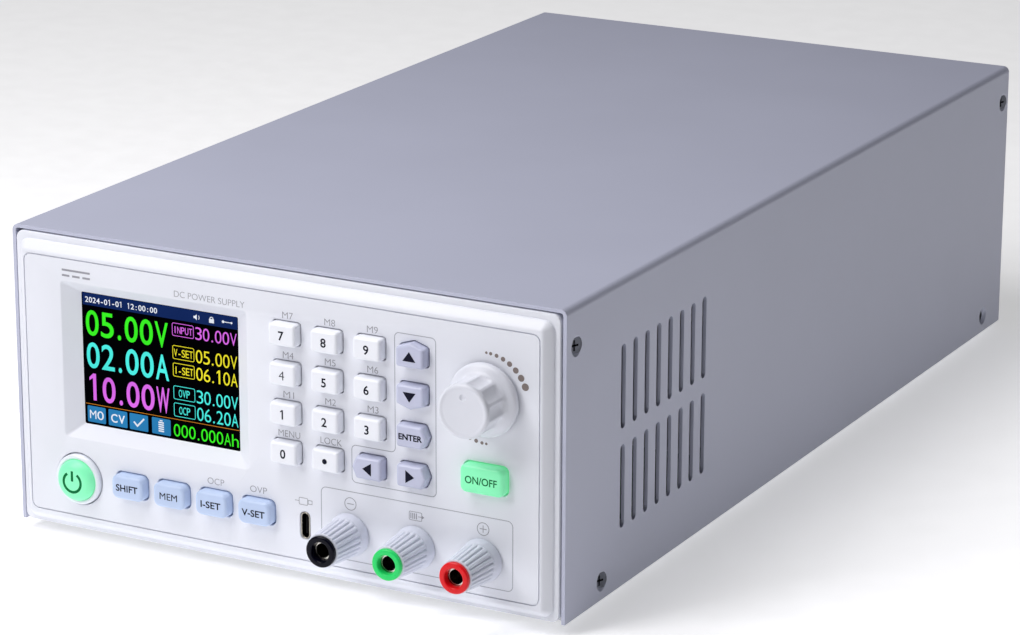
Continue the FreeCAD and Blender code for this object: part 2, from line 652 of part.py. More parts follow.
# --------------------------------------------------------------- knob, encoder
def encoder():
    case = box("-encoder_w/2", "encoder_y", "-encoder_w/2", "encoder_w", "pcb_y - encoder_y",
               "encoder_w")
    bush = rod("y", "0", "-bush_out", "0", "bush_r", "bush_out + 1")
    bore = rod("y", "0", "-bush_out - 1", "0", "shaft_r + 0.05", "bush_out + 4.2")
    node(cut(fuse([case, bush]), [bore]), "encoder_body", "dial_x", "0", "dial_z")
    plunger = group([rod("y", "0", "plunger_y", "0", "plunger_r", "1")])
    node(plunger, "encoder_plunger", "dial_x", "0", "dial_z")
    shaft = new_body("Shaft")
    turned(shaft, (("0", "0.1 - plunger_y"), ("shaft_r", "0.1 - plunger_y"),
                   ("shaft_r", "shaft_out - 0.4"), ("shaft_r - 0.4", "shaft_out"),
                   ("0", "shaft_out")))
    node(shaft, "encoder_shaft", "dial_x", "0", "dial_z")


def tuning_knob():
    body = new_body("Knob")
    turned(body, (("shaft_r + 0.02", "shaft_out + 0.1"), ("shaft_r + 0.02", "bush_out + 0.8"),
                  ("bush_r + 0.5", "bush_out + 0.8"), ("bush_r + 0.5", "dial_base"),
                  ("skirt_r", "dial_base"), ("skirt_r", "dial_base + 0.7"),
                  ("skirt_r - 0.5", "dial_base + 1.3"), ("grip_r + 0.6", "dial_base + 3.0"),
                  ("grip_r", "dial_base + 4.6"), ("grip_r", "dial_out - 1.0"),
                  ("cap_r - 0.1", "dial_out - 0.4"), ("cap_r - 0.5", "dial_out"),
                  ("0", "dial_out"), ("0", "shaft_out + 0.1")))
    flute = new_sketch(body, "XZ_Plane", "grip_r + flute_x", "0", "dial_out - 1.3")
    circle(flute, "flute_r")
    cutter = pocket(body, flute, "dial_out - dial_base - 5.0")
    centre = new_sketch(body, "XZ_Plane")
    around(body, cutter, centre, 10)
    dimple = new_sketch(body, "XZ_Plane", "0", "dimple_z", "dial_out")
    circle(dimple, "dimple_r")
    pocket(body, dimple, "dimple_t")
    node(body, "tuning_knob", "dial_x", "0", "dial_z")


# -------------------------------------------------------------- binding posts
POSTS = ("negative_post", "ground_post", "positive_post")


def post_place(index):
    return "post_x + %d*post_step" % index


def post_collars():
    items = []
    for index in range(len(POSTS)):
        x = post_place(index)
        flare = cone("y", x, "-cap_base + loose", "post_z", "collar_r - 0.4", "collar_r",
                     "cap_base - loose - face_out")
        bush = rod("y", x, "-face_out - 0.5", "post_z", "post_hole - 0.05", "face_out + 0.5")
        bore = rod("y", x, "-cap_base - 1", "post_z", "stud_r + bush_hole", "cap_base + 3")
        items.append(cut(fuse([flare, bush]), [bore]))
    return node(group(items), "post_collars")


def post_studs():
    items = []
    for index in range(len(POSTS)):
        x = post_place(index)
        tube = rod("y", x, "-stud_out", "post_z", "stud_r", "stud_len")
        tail = rod("y", x, "tail_y", "post_z", "tail_r", "tail_len")
        nut = rod("y", x, "nut_y", "post_z", "nut_r", "nut_t")
        socket = rod("y", x, "-stud_out - 1", "post_z", "plug_r", "plug_depth + 1")
        items.append(cut(fuse([tube, tail, nut]), [socket]))
    return node(group(items), "post_studs")


def post_caps():
    for index, post in enumerate(POSTS):
        ring = new_body("PostRing")
        turned(ring, (("stud_r + loose", "sleeve_in"), ("sleeve_r", "sleeve_in"),
                      ("sleeve_r", "cap_front + 0.05"), ("ring_r", "cap_front + 0.05"),
                      ("ring_r", "post_out - 0.5"), ("ring_r - 0.5", "post_out"),
                      ("plug_r + ring_mouth", "post_out"),
                      ("plug_r + ring_lead", "post_out - 0.4"), ("plug_r + ring_throat", "ring_in"),
                      ("stud_r + loose", "ring_in")))
        node(ring, post + "_ring", post_place(index), "0", "post_z")
        cap = new_body("PostCap")
        turned(cap, (("stud_r + loose", "cap_base"), ("cap_wide - 0.1", "cap_base"),
                     ("cap_wide", "cap_base + 0.6"), ("cap_narrow", "rib_out + 0.6"),
                     ("cap_narrow - 0.2", "cap_front - 0.35"), ("cap_nose", "cap_front"),
                     ("sleeve_r + 0.1", "cap_front"), ("sleeve_r + 0.1", "sleeve_in - 0.1"),
                     ("stud_r + loose", "sleeve_in - 0.1")))
        flute = new_sketch(cap, "XZ_Plane", "cap_wide", "0", "rib_out")
        circle(flute, "rib_r")
        cutter = pocket(cap, flute, "rib_out - cap_base - 0.8")
        centre = new_sketch(cap, "XZ_Plane")
        around(cap, cutter, centre, 22)
        node(cap, post + "_cap", post_place(index), "0", "post_z")


def output_wires():
    wires = []
    radius = num("1.3")
    for index in range(len(POSTS)):
        start = vec(post_place(index), "15.1", "post_z")
        drop = FreeCAD.Vector(0, 1, 0)
        curve = Part.BSplineCurve()
        points = [start, start + drop * 8, start + FreeCAD.Vector(-3, 26, 1.5),
                  start + FreeCAD.Vector(-5, 40, -1.0), start + FreeCAD.Vector(-5, 50.4, -1.0)]
        curve.interpolate(Points=points, InitialTangent=drop, FinalTangent=drop)
        spine = Part.Wire(curve.toShape())
        ring = Part.Wire(Part.makeCircle(radius, start, drop))
        wires.append(spine.makePipeShell([ring], True, False))
    obj = doc.addObject("Part::Feature", "OutputWires")
    obj.Shape = Part.makeCompound(wires)
    return node(obj, "output_wires")


# ------------------------------------------------------------ front electronics
def display():
    glass = box("lcd_x - glass_w/2", "glass_y", "lcd_z - glass_h/2", "glass_w", "glass_t",
                "glass_h")
    node(group([glass]), "lcd_glass")
    tray = box("lcd_x - tray_w/2", "glass_y + glass_t", "lcd_z - tray_h/2", "tray_w",
               "pcb_y - glass_y - glass_t", "tray_h")
    node(group([tray]), "lcd_module")


def control_board():
    board = box("-pcb_w/2", "pcb_y", "pcb_z", "pcb_w", "pcb_t", "pcb_h")
    holes = []
    for index in range(len(POSTS)):
        holes.append(rod("y", post_place(index), "pcb_y - 1", "post_z", "nut_r + 0.6",
                         "pcb_t + 2"))
    return node(cut(board, holes), "control_board")


def key_switches():
    spots = [("power_x", "power_z"), ("out_x", "out_z")]
    for column in range(4):
        spots.append(("soft_x + %d*soft_step" % column, "soft_z"))
        for row in range(4):
            spots.append(("col_x + %d*col_step" % column, "row_z + %d*row_step" % row))
    items = []
    for x, z in spots:
        items.append(box("%s - switch_w/2" % x, "switch_y", "%s - switch_w/2" % z, "switch_w",
                         "pcb_y - switch_y", "switch_w"))
    return node(group(items), "key_switches")


def usb_socket():
    body = new_body("UsbSocket")
    shell = new_sketch(body, "XZ_Plane", "0", "0", "face_out - usb_in")
    rectangle(shell, "usb_w", "usb_h", "usb_r")
    pad(body, shell, "face_out - usb_in + pcb_y", inward=True)
    mouth = new_sketch(body, "XZ_Plane", "0", "0", "face_out - usb_in")
    rectangle(mouth, "usb_w - 2*usb_wall", "usb_h - 2*usb_wall", "usb_r - usb_wall")
    pocket(body, mouth, "usb_depth")
    tongue = new_sketch(body, "XZ_Plane", "0", "0", "face_out - usb_in - tongue_in")
    rectangle(tongue, "tongue_w", "tongue_h", "0.1")
    pad(body, tongue, "usb_depth - tongue_in + 0.1", inward=True)
    return node(body, "usb_socket", "usb_x", "0", "usb_z")


# ------------------------------------------------------------------- internals
def main_board():
    board = box("board_x", "board_y", "board_z", "board_w", "board_d", "board_t")
    block = box("block_x", "block_y", "board_z + board_t", "block_w", "block_h", "block_h")
    mounting = []
    posts = []
    for x in ("mount_x", "mount_x + mount_w"):
        for y in ("mount_y", "mount_y + mount_d"):
            mounting.append(rod("z", x, y, "board_z - 1", "mount_hole", "board_t + 2.4"))
            foot = rod("z", x, y, "floor_t", "mount_r", "board_z - floor_t")
            screw = rod("z", x, y, "board_z - 0.5", "mount_hole - 0.1", "board_t + 1.4")
            head = rod("z", x, y, "board_z + board_t", "head_r", "head_t")
            posts.append(fuse([foot, screw, head]))
    node(cut(fuse([board, block]), mounting), "main_board")
    node(group(posts), "board_standoffs")


def heat_sink():
    parts = [box("sink_x", "sink_y", "board_z + board_t", "sink_w", "sink_d", "sink_t")]
    for index in range(7):
        parts.append(box("sink_x + %d*fin_step" % index, "sink_y",
                         "board_z + board_t + sink_t - 0.6", "fin_t", "sink_d", "fin_h"))
    return node(fuse(parts), "heat_sink")


def capacitors():
    items = []
    for x, y in (("0", "100"), ("0", "124"), ("0", "210"), ("18", "228")):
        items.append(rod("z", x, y, "board_z + board_t", "can_r", "can_h"))
    return node(group(items), "capacitors")


def choke():
    ring = doc.addObject("Part::Torus", "Toroid")
    bind(ring, "Radius1", "coil_r")
    bind(ring, "Radius2", "coil_t")
    at(ring, "coil_x", "coil_y", "board_z + board_t + coil_t + 0.2")
    return node(group([ring]), "choke")


def mains_module():
    shell = box("module_x", "module_y", "floor_t", "module_w", "module_d", "module_h")
    slots = []
    for index in range(10):
        slots.append(box("module_x + (module_w - slot_w)/2",
                         "module_y + 16 + %d*slot_step" % index,
                         "floor_t + module_h - 2.2", "slot_w", "slot_t", "6"))
    return node(cut(shell, slots), "mains_module")


def ribbon_cable():
    path = [("pcb_y + pcb_t", "66"), ("16", "66"), ("24", "60"), ("26", "48"), ("34", "20"),
            ("46", "board_z + 4"), ("61", "board_z + 4"), ("61", "board_z + 1.6")]
    thick = 0.9
    upper = [vec("ribbon_x", y, z) for y, z in path]
    lower = [point + FreeCAD.Vector(0, -0.6, -thick) for point in upper[:-2]]
    lower[0] = upper[0] + FreeCAD.Vector(0, 0, -thick)
    tail = [upper[-1] + FreeCAD.Vector(0, -thick, 0), upper[-2] + FreeCAD.Vector(0, -thick, -thick)]
    outline = upper + tail + lower[::-1]
    face = Part.Face(Part.makePolygon(outline + [outline[0]]))
    obj = doc.addObject("Part::Feature", "Ribbon")
    obj.Shape = face.extrude(vec("ribbon_w", "0", "0"))
    return node(obj, "ribbon_cable")


def fan():
    back = "rear_in - fan_t"
    frame = box("fan_x - fan_size/2", back, "fan_z - fan_size/2", "fan_size", "fan_t",
                "fan_size")
    bore = rod("y", "fan_x", "%s - 1" % back, "fan_z", "fan_hole_r", "fan_t + 2")
    ring = cut(frame, [bore] + fan_corner_rods("%s - 1" % back, "fan_hole", "fan_t + 2"))
    strut = "%s + strut_y" % back
    spokes = [rod("y", "fan_x", strut, "fan_z", "hub_r", "strut_t"),
              box("fan_x - strut_r", strut, "fan_z - strut_w/2", "2*strut_r", "strut_t",
                  "strut_w"),
              box("fan_x - strut_w/2", strut, "fan_z - strut_r", "strut_w", "strut_t",
                  "2*strut_r")]
    node(fuse([ring] + spokes), "fan_frame")
    hub = rod("y", "0", "-7.5", "0", "hub_r", "14.5")
    blades = []
    for index in range(7):
        blade = box("-blade_t/2", "-blade_w/2", "hub_r - 1", "blade_t", "blade_w",
                    "blade_tip - hub_r + 1")
        tilt = FreeCAD.Rotation(FreeCAD.Vector(0, 0, 1), 35)
        spin = FreeCAD.Rotation(FreeCAD.Vector(0, 1, 0), index * 360.0 / 7)
        holder = group([blade])
        holder.Placement.Rotation = spin * tilt
        blades.append(holder)
    wheel = fuse([hub] + blades)
    limit = rod("y", "0", "-9", "0", "blade_tip", "18")
    trimmed = doc.addObject("Part::MultiCommon", "Trim")
    trimmed.Shapes = [wheel, limit]
    node(trimmed, "fan_rotor", "fan_x", "-(rear_in - fan_t + 9)", "fan_z")
    screws = fan_corner_rods("rear_in - 6", "fan_screw", "8.0")
    heads = fan_corner_rods("rear_in + rear_t", "fan_head_r", "fan_head_t")
    items = [fuse([shank, head]) for shank, head in zip(screws, heads)]
    node(group(items), "fan_screws")


def mains_inlet():
    flange = box("inlet_x - inlet_w/2", "rear_in + rear_t", "inlet_z - inlet_h/2", "inlet_w",
                 "inlet_out", "inlet_h")
    barrel = box("inlet_x - barrel_w/2", "rear_in - barrel_in", "inlet_z - barrel_h/2",
                 "barrel_w", "barrel_in + 2", "barrel_h")
    mouth = box("inlet_x - mouth_w/2", "rear_in - mouth_in", "inlet_z + mouth_z", "mouth_w",
                "mouth_in + 12", "mouth_h")
    tray = box("inlet_x - drawer_w/2 - drawer_gap", "rear_in - drawer_in - 0.5",
               "inlet_z + drawer_z - drawer_gap", "drawer_w + 2*drawer_gap", "26",
               "drawer_h + 2*drawer_gap")
    shell = cut(fuse([flange, barrel]), [mouth, tray])
    pins = []
    for x in ("inlet_x - pin_step", "inlet_x", "inlet_x + pin_step"):
        pins.append(box("%s - pin_w/2" % x, "rear_in - mouth_in - 1", "inlet_z + 2.6", "pin_w",
                        "mouth_in", "pin_h"))
    node(fuse([shell] + pins), "iec_inlet")
    drawer = box("inlet_x - drawer_w/2", "rear_in - drawer_in", "inlet_z + drawer_z",
                 "drawer_w", "drawer_len", "drawer_h")
    hollow = box("inlet_x - drawer_w/2 + drawer_wall", "rear_in - mouth_in",
                 "inlet_z + drawer_z + 1.2", "drawer_w - 2*drawer_wall", "mouth_in",
                 "drawer_h + 1.2")
    node(cut(drawer, [hollow]), "fuse_drawer")


for build in (top_cover, bottom_chassis, rear_panel, front_bezel, cover_screws, rubber_feet,
              number_keys, arrow_keys, function_keys, power_button, encoder, tuning_knob,
              post_collars, post_studs, post_caps, output_wires, display, control_board,
              key_switches, usb_socket, main_board, heat_sink, capacitors, choke,
              mains_module, ribbon_cable, fan, mains_inlet):
    build()

doc.recompute()
for item in doc.Objects:
    if "Invalid" in item.State or "Error" in item.State:
        raise RuntimeError("%s (%s) did not recompute" % (item.Name, item.Label))
for item in NODES:
    if item.Shape.isNull() or not item.Shape.isValid():
        raise RuntimeError("%s has no valid shape" % item.Label)
os.makedirs("parts", exist_ok=True)
for item in NODES:
    item.Shape.exportStep("parts/%s.step" % item.Label)
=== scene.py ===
"""Bench power supply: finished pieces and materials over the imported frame."""
import math

import bmesh
import bpy
from bpy.props import FloatProperty, FloatVectorProperty, IntProperty, PointerProperty
from mathutils import Matrix, Vector


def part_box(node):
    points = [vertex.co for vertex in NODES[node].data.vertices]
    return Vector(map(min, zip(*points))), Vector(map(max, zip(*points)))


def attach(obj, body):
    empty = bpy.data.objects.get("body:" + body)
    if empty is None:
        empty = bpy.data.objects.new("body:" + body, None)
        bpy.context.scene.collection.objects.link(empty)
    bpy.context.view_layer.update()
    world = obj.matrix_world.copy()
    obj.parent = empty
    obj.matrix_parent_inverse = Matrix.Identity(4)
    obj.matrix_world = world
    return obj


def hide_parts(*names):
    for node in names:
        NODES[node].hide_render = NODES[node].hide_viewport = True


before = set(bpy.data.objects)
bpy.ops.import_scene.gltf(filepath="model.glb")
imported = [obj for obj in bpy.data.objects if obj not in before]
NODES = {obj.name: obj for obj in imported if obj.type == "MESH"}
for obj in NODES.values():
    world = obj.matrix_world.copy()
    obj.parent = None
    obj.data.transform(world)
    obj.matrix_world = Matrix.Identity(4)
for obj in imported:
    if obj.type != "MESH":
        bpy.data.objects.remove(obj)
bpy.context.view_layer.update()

bl_info = {
    "name": "Bench power supply",
    "version": (1, 0, 0),
    "blender": (4, 5, 0),
    "location": "View3D > Sidebar > Power supply",
    "description": "Builds the finished pieces of a bench power supply over its frame",
    "category": "Object",
}

MM = 0.001
COVER_LOW, COVER_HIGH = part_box("top_cover")
FRONT = COVER_LOW.y
BASE = COVER_LOW.z
TAU = 2.0 * math.pi

# Heights in front of the cover's front edge, in millimetres
RIM_OUT = 0.5
FACE_OUT = (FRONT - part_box("front_bezel")[0].y) / MM
WALL_IN = 0.8
RIM_BACK = -2.0
KEY_OUT = (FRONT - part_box("key_7")[0].y) / MM
GLASS_OUT = (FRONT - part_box("lcd_glass")[0].y) / MM
INK = 0.03
FINE_INK = 0.02
STEM_END = -1.2
STEM_RADIUS = 1.5
LENS_BACK = -0.1


def spot(x, out, z):
    """Point in the shared frame from case millimetres."""
    return Vector((x * MM, FRONT - out * MM, BASE + z * MM))


def middle(node):
    """Centre of a node in case millimetres, seen from the front."""
    low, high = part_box(node)
    return (low.x + high.x) / 2 / MM, ((low.z + high.z) / 2 - BASE) / MM


# ------------------------------------------------------------------ materials
def srgb(red, green, blue):
    """Linear colour from 0-255 display values."""
    def linear(value):
        value /= 255.0
        return value / 12.92 if value <= 0.04045 else ((value + 0.055) / 1.055) ** 2.4
    return (linear(red), linear(green), linear(blue), 1.0)


def blank_material(name):
    """New material, its tree and its main shader."""
    material = bpy.data.materials.new(name)
    material.use_nodes = True
    nodes = material.node_tree.nodes
    shader = next(node for node in nodes if node.type == "BSDF_PRINCIPLED")
    return material, material.node_tree, shader


def noise(tree, coords, scale, detail=2.0):
    """Grey noise over the given coordinates."""
    node = tree.nodes.new("ShaderNodeTexNoise")
    node.inputs["Scale"].default_value = scale
    node.inputs["Detail"].default_value = detail
    tree.links.new(coords, node.inputs["Vector"])
    return node.outputs["Fac"]


def ramp(tree, factor, low, high, low_at=0.35, high_at=0.65):
    """Colour that runs from low to high as the factor rises."""
    node = tree.nodes.new("ShaderNodeValToRGB")
    node.color_ramp.elements[0].position = low_at
    node.color_ramp.elements[1].position = high_at
    node.color_ramp.elements[0].color = low
    node.color_ramp.elements[1].color = high
    tree.links.new(factor, node.inputs["Fac"])
    return node.outputs["Color"]


def shade(colour, factor):
    """Colour made darker or lighter."""
    return tuple(min(1.0, channel * factor) for channel in colour[:3]) + (1.0,)


GRAIN_DEPTH = 0.00003


def finish(name, colour, rough=0.5, spread=0.04, blotch=60.0, grain=1500.0, bump=0.05,
           metal=0.0, rough_spread=0.08, coat=0.0, stretch=None, shine=0.5):
    """Moulded, painted or plated surface: slow colour drift, fine grain and uneven gloss."""
    material, tree, shader = blank_material(name)
    place = tree.nodes.new("ShaderNodeTexCoord").outputs["Object"]
    fine = place
    if stretch:
        mapping = tree.nodes.new("ShaderNodeMapping")
        mapping.inputs["Scale"].default_value = stretch
        tree.links.new(place, mapping.inputs["Vector"])
        fine = mapping.outputs["Vector"]
    drift = noise(tree, place, blotch, 3.0)
    tree.links.new(ramp(tree, drift, shade(colour, 1 - spread), shade(colour, 1 + spread)),
                   shader.inputs["Base Color"])
    grit = noise(tree, fine, grain, 2.0)
    gloss = tree.nodes.new("ShaderNodeMapRange")
    gloss.inputs["To Min"].default_value = max(0.02, rough - rough_spread)
    gloss.inputs["To Max"].default_value = min(1.0, rough + rough_spread)
    tree.links.new(grit, gloss.inputs["Value"])
    tree.links.new(gloss.outputs["Result"], shader.inputs["Roughness"])
    relief = tree.nodes.new("ShaderNodeBump")
    relief.inputs["Strength"].default_value = bump
    relief.inputs["Distance"].default_value = GRAIN_DEPTH
    tree.links.new(grit, relief.inputs["Height"])
    tree.links.new(relief.outputs["Normal"], shader.inputs["Normal"])
    shader.inputs["Metallic"].default_value = metal
    shader.inputs["Specular IOR Level"].default_value = shine
    if coat:
        shader.inputs["Coat Weight"].default_value = coat
        shader.inputs["Coat Roughness"].default_value = 0.15
    return material


def glowing(name, colour, glow, strength, rough=0.35, edge=0.75):
    """Translucent plastic lit from behind: brighter in drifting patches."""
    material = finish(name, colour, rough, 0.03, 90.0, 2500.0, 0.03)
    tree = material.node_tree
    shader = next(node for node in tree.nodes if node.type == "BSDF_PRINCIPLED")
    place = tree.nodes.new("ShaderNodeTexCoord").outputs["Object"]
    patch = noise(tree, place, 120.0, 1.0)
    tree.links.new(ramp(tree, patch, shade(glow, edge), glow, 0.2, 0.8),
                   shader.inputs["Emission Color"])
    shader.inputs["Emission Strength"].default_value = strength
    return material


MATERIALS = {}


def material(name):
    """A material by name, made the first time that it is asked for."""
    if name not in MATERIALS:
        maker, args, options = RECIPES[name]
        MATERIALS[name] = maker(name, *args, **options)
    return MATERIALS[name]


def coated(red, green, blue, rough, **options):
    """Recipe of a plain finish: its colour, its roughness and what else differs."""
    return finish, (srgb(red, green, blue), rough), options


def lit(*args):
    """Recipe of a plastic lit from behind."""
    return glowing, args, {}


RECIPES = {
    "powder_coat": coated(186, 189, 208, 0.42, spread=0.015, blotch=18.0, grain=2600.0,
                          bump=0.35, rough_spread=0.06),
    "rear_coat": coated(180, 186, 202, 0.45, spread=0.02, blotch=25.0, grain=2600.0, bump=0.35),
    "zinc_steel": coated(190, 192, 196, 0.35, metal=1.0, spread=0.12, blotch=140.0, bump=0.08),
    "bezel_plastic": coated(227, 229, 237, 0.4, spread=0.012, blotch=30.0, grain=3200.0,
                            bump=0.12),
    "number_key_plastic": coated(236, 238, 245, 0.32, spread=0.01, blotch=200.0, grain=3000.0,
                                 bump=0.05, coat=0.15),
    "arrow_key_plastic": coated(190, 193, 216, 0.34, spread=0.02, blotch=200.0, grain=3000.0,
                                bump=0.05, coat=0.15),
    "knob_plastic": coated(218, 220, 229, 0.38, spread=0.015, blotch=120.0, grain=2800.0,
                           bump=0.08),
    "post_plastic": coated(214, 217, 230, 0.36, spread=0.02, blotch=150.0, grain=2800.0,
                           bump=0.06),
    "button_white": coated(232, 236, 244, 0.3, spread=0.01, blotch=150.0, grain=2800.0,
                           bump=0.04, coat=0.2),
    "function_key_plastic": lit(srgb(180, 196, 224), srgb(180, 204, 255), 0.08),
    "output_key_plastic": lit(srgb(116, 214, 166), srgb(134, 255, 178), 0.36),
    "power_lens_plastic": lit(srgb(116, 214, 166), srgb(134, 255, 178), 0.36),
    "ring_black": coated(6, 6, 20, 0.16, spread=0.1, bump=0.01, shine=0.12),
    "ring_green": coated(34, 215, 106, 0.3, bump=0.03, shine=0.3),
    "ring_red": coated(220, 8, 20, 0.3, bump=0.03, shine=0.3),
    # Black of the socket's tongue, also painted on the throat walls and floor as shade inside the
    # shell
    "socket_black": coated(6, 6, 8, 0.6, spread=0.2, shine=0.1),
    "nickel_plate": coated(200, 196, 188, 0.18, metal=1.0, spread=0.06, blotch=400.0,
                           bump=0.03),
    "socket_shell": coated(196, 190, 176, 0.25, metal=1.0, spread=0.06, blotch=400.0,
                           bump=0.03),
    "dark_nickel": coated(88, 90, 98, 0.22, metal=1.0, spread=0.15, blotch=600.0, bump=0.05),
    "display_glass": coated(2, 2, 4, 0.2, spread=0.2, bump=0.01, shine=0.0),
    "display_frame": coated(185, 187, 190, 0.3, metal=1.0, bump=0.05),
    "circuit_board": coated(24, 92, 52, 0.4, spread=0.15, blotch=250.0),
    "black_plastic": coated(24, 24, 27, 0.45, spread=0.12, bump=0.08),
    "module_case": coated(196, 198, 202, 0.36, metal=1.0, spread=0.05, stretch=(1.0, 0.02, 1.0),
                          bump=0.1),
    "heat_sink_aluminium": coated(176, 179, 184, 0.34, metal=1.0, spread=0.05,
                                  stretch=(1.0, 0.03, 1.0), bump=0.12),
    "capacitor_sleeve": coated(22, 26, 44, 0.3, spread=0.1, coat=0.3),
    "choke_copper": coated(176, 104, 56, 0.3, metal=1.0, spread=0.2, grain=900.0, bump=0.5),
    "foot_rubber": coated(30, 30, 32, 0.75, spread=0.1, bump=0.25),
    "wire_sleeve": coated(40, 40, 44, 0.5, spread=0.1),
    "ribbon_sleeve": coated(140, 146, 158, 0.5, spread=0.25, blotch=900.0,
                            stretch=(1.0, 0.02, 0.02)),
    "key_ink": coated(12, 13, 34, 0.5, spread=0.1, bump=0.02, shine=0.1),
    "panel_ink": coated(150, 150, 158, 0.5, spread=0.05, bump=0.02),
    "dot_ink": coated(122, 110, 106, 0.5, spread=0.08, bump=0.02),
    "green_ink": coated(0, 108, 56, 0.45, spread=0.1, bump=0.02, shine=0.1),
    "line_ink": coated(158, 160, 170, 0.5, spread=0.05, bump=0.02),
    "floor_paper": lit(srgb(246, 246, 248), (1.0, 1.0, 1.0, 1.0), 0.43, 0.9, 0.99),
}


def screen_light(name, colour):
    """Lit picture element, a little uneven like a backlight."""
    picture, tree, shader = blank_material(name)
    place = tree.nodes.new("ShaderNodeTexCoord").outputs["Object"]
    drift = noise(tree, place, 90.0, 1.0)
    tree.links.new(ramp(tree, drift, shade(colour, 0.86), colour, 0.3, 0.7),
                   shader.inputs["Emission Color"])
    shader.inputs["Base Color"].default_value = (0.0, 0.0, 0.0, 1.0)
    shader.inputs["Specular IOR Level"].default_value = 0.0
    shader.inputs["Emission Strength"].default_value = 1.0
    shader.inputs["Roughness"].default_value = 0.3
    return picture


SCREEN_COLOURS = {
    "lit_green": srgb(60, 250, 40),
    "lit_cyan": srgb(80, 245, 235),
    "lit_magenta": srgb(226, 110, 240),
    "lit_yellow": srgb(250, 238, 50),
    "lit_white": srgb(235, 240, 250),
    "lit_orange": srgb(210, 130, 40),
    "lit_blue": srgb(45, 128, 185),
    "lit_navy": srgb(20, 40, 92),
}
for shade_name, shade_colour in SCREEN_COLOURS.items():
    RECIPES[shade_name] = (screen_light, (shade_colour,), {})


# --------------------------------------------------------------- mesh helpers
def add_object(name, mesh, materials):
    """Object at the origin with its materials."""
    obj = bpy.data.objects.new(name, mesh)
    bpy.context.scene.collection.objects.link(obj)
    mesh.materials.clear()
    for item in materials:
        mesh.materials.append(material(item))
    return obj


def smooth(mesh, angle=34.0):
    """Smooth shading, with edges sharper than the angle kept."""
    for face in mesh.polygons:
        face.use_smooth = True
    mesh.set_sharp_from_angle(angle=math.radians(angle))


def rounded(points, radius, inset=0.0, steps=5):
    """Convex outline moved in by inset, with its corners rounded.

    Points run anticlockwise as seen from the front; a corner may carry its
    own radius as a third value.
    """
    count = len(points)
    lines = []
    for i in range(count):
        a = Vector(points[i][:2])
        b = Vector(points[(i + 1) % count][:2])
        along = (b - a).normalized()
        normal = Vector((-along.y, along.x))
        lines.append((a + normal * inset, along))
    ring = []
    for i in range(count):
        (p, d), (q, e) = lines[i - 1], lines[i]
        cross = d.x * e.y - d.y * e.x
        gap = q - p
        corner = p + d * ((gap.x * e.y - gap.y * e.x) / cross)
        size = points[i][2] if len(points[i]) > 2 else radius
        size = max(0.02, size - inset)
        turn = d.angle(e)
        back = size * math.tan(turn / 2)
        start = corner - d * back
        centre = start + Vector((-d.y, d.x)) * size
        first = math.atan2(start.y - centre.y, start.x - centre.x)
        for step in range(steps + 1):
            angle = first + turn * step / steps
            ring.append((centre.x + size * math.cos(angle), centre.y + size * math.sin(angle)))
    return ring


def rectangle(width, height, x=0.0, z=0.0):
    """Corners, anticlockwise from the front."""
    w, h = width / 2, height / 2
    return [(x - w, z - h), (x + w, z - h), (x + w, z + h), (x - w, z + h)]


def loft(bm, rings, caps=True):
    """Skin between rings of (x, out, z) millimetre points, outward for growing out."""
    layers = [[bm.verts.new(spot(*point)) for point in ring] for ring in rings]
    count = len(layers[0])
    for lower, upper in zip(layers, layers[1:]):
        for i in range(count):
            j = (i + 1) % count
            bm.faces.new((lower[i], lower[j], upper[j], upper[i]))
    if caps:
        bm.faces.new(layers[0][::-1])
        bm.faces.new(layers[-1])
    return layers


def at_out(outline, out, x=0.0, z=0.0):
    """Flat outline as points at one height."""
    return [(x + px, out, z + pz) for px, pz in outline]


def finish_mesh(bm, name, angle=34.0):
    """Plain mesh with its faces pointing outwards."""
    bmesh.ops.recalc_face_normals(bm, faces=bm.faces)
    mesh = bpy.data.meshes.new(name)
    bm.to_mesh(mesh)
    bm.free()
    smooth(mesh, angle)
    return mesh


def spun(bm, profile, x, z, segments=96, shape=None):
    """Turn (radius, out) points about an axis through x, z that runs front to back.

    A zero radius at either end closes the piece with a pole; otherwise the
    outline closes on itself as a ring.
    """
    rings = []
    for radius, out in profile:
        if radius < 1e-6:
            rings.append([bm.verts.new(spot(x, out, z))])
            continue
        ring = []
        for i in range(segments):
            angle = TAU * i / segments
            size = shape(radius, out, angle) if shape else radius
            ring.append(bm.verts.new(spot(x + size * math.cos(angle), out,
                                          z + size * math.sin(angle))))
        rings.append(ring)
    pairs = list(zip(rings, rings[1:]))
    if len(rings[0]) > 1 and len(rings[-1]) > 1:
        pairs.append((rings[-1], rings[0]))
    for lower, upper in pairs:
        for i in range(segments):
            j = (i + 1) % segments
            if len(lower) == 1:
                bm.faces.new((lower[0], upper[j], upper[i]))
            elif len(upper) == 1:
                bm.faces.new((lower[i], lower[j], upper[0]))
            else:
                bm.faces.new((lower[i], lower[j], upper[j], upper[i]))


def arc(centre_r, centre_out, radius, start, stop, steps=5):
    """Rounded stretch of a turned outline; angles in degrees from straight out."""
    points = []
    for step in range(steps + 1):
        angle = math.radians(start + (stop - start) * step / steps)
        points.append((centre_r + radius * math.sin(angle),
                       centre_out + radius * math.cos(angle)))
    return points


def brick(bm, low, high):
    """Closed box between two corners in case millimetres."""
    ring = rectangle(high[0] - low[0], high[2] - low[2], (low[0] + high[0]) / 2,
                     (low[2] + high[2]) / 2)
    loft(bm, [at_out(ring, low[1]), at_out(ring, high[1])])


# ------------------------------------------------------------------- legends
CAPITAL = 0.729    # height of a capital in a font of size 1


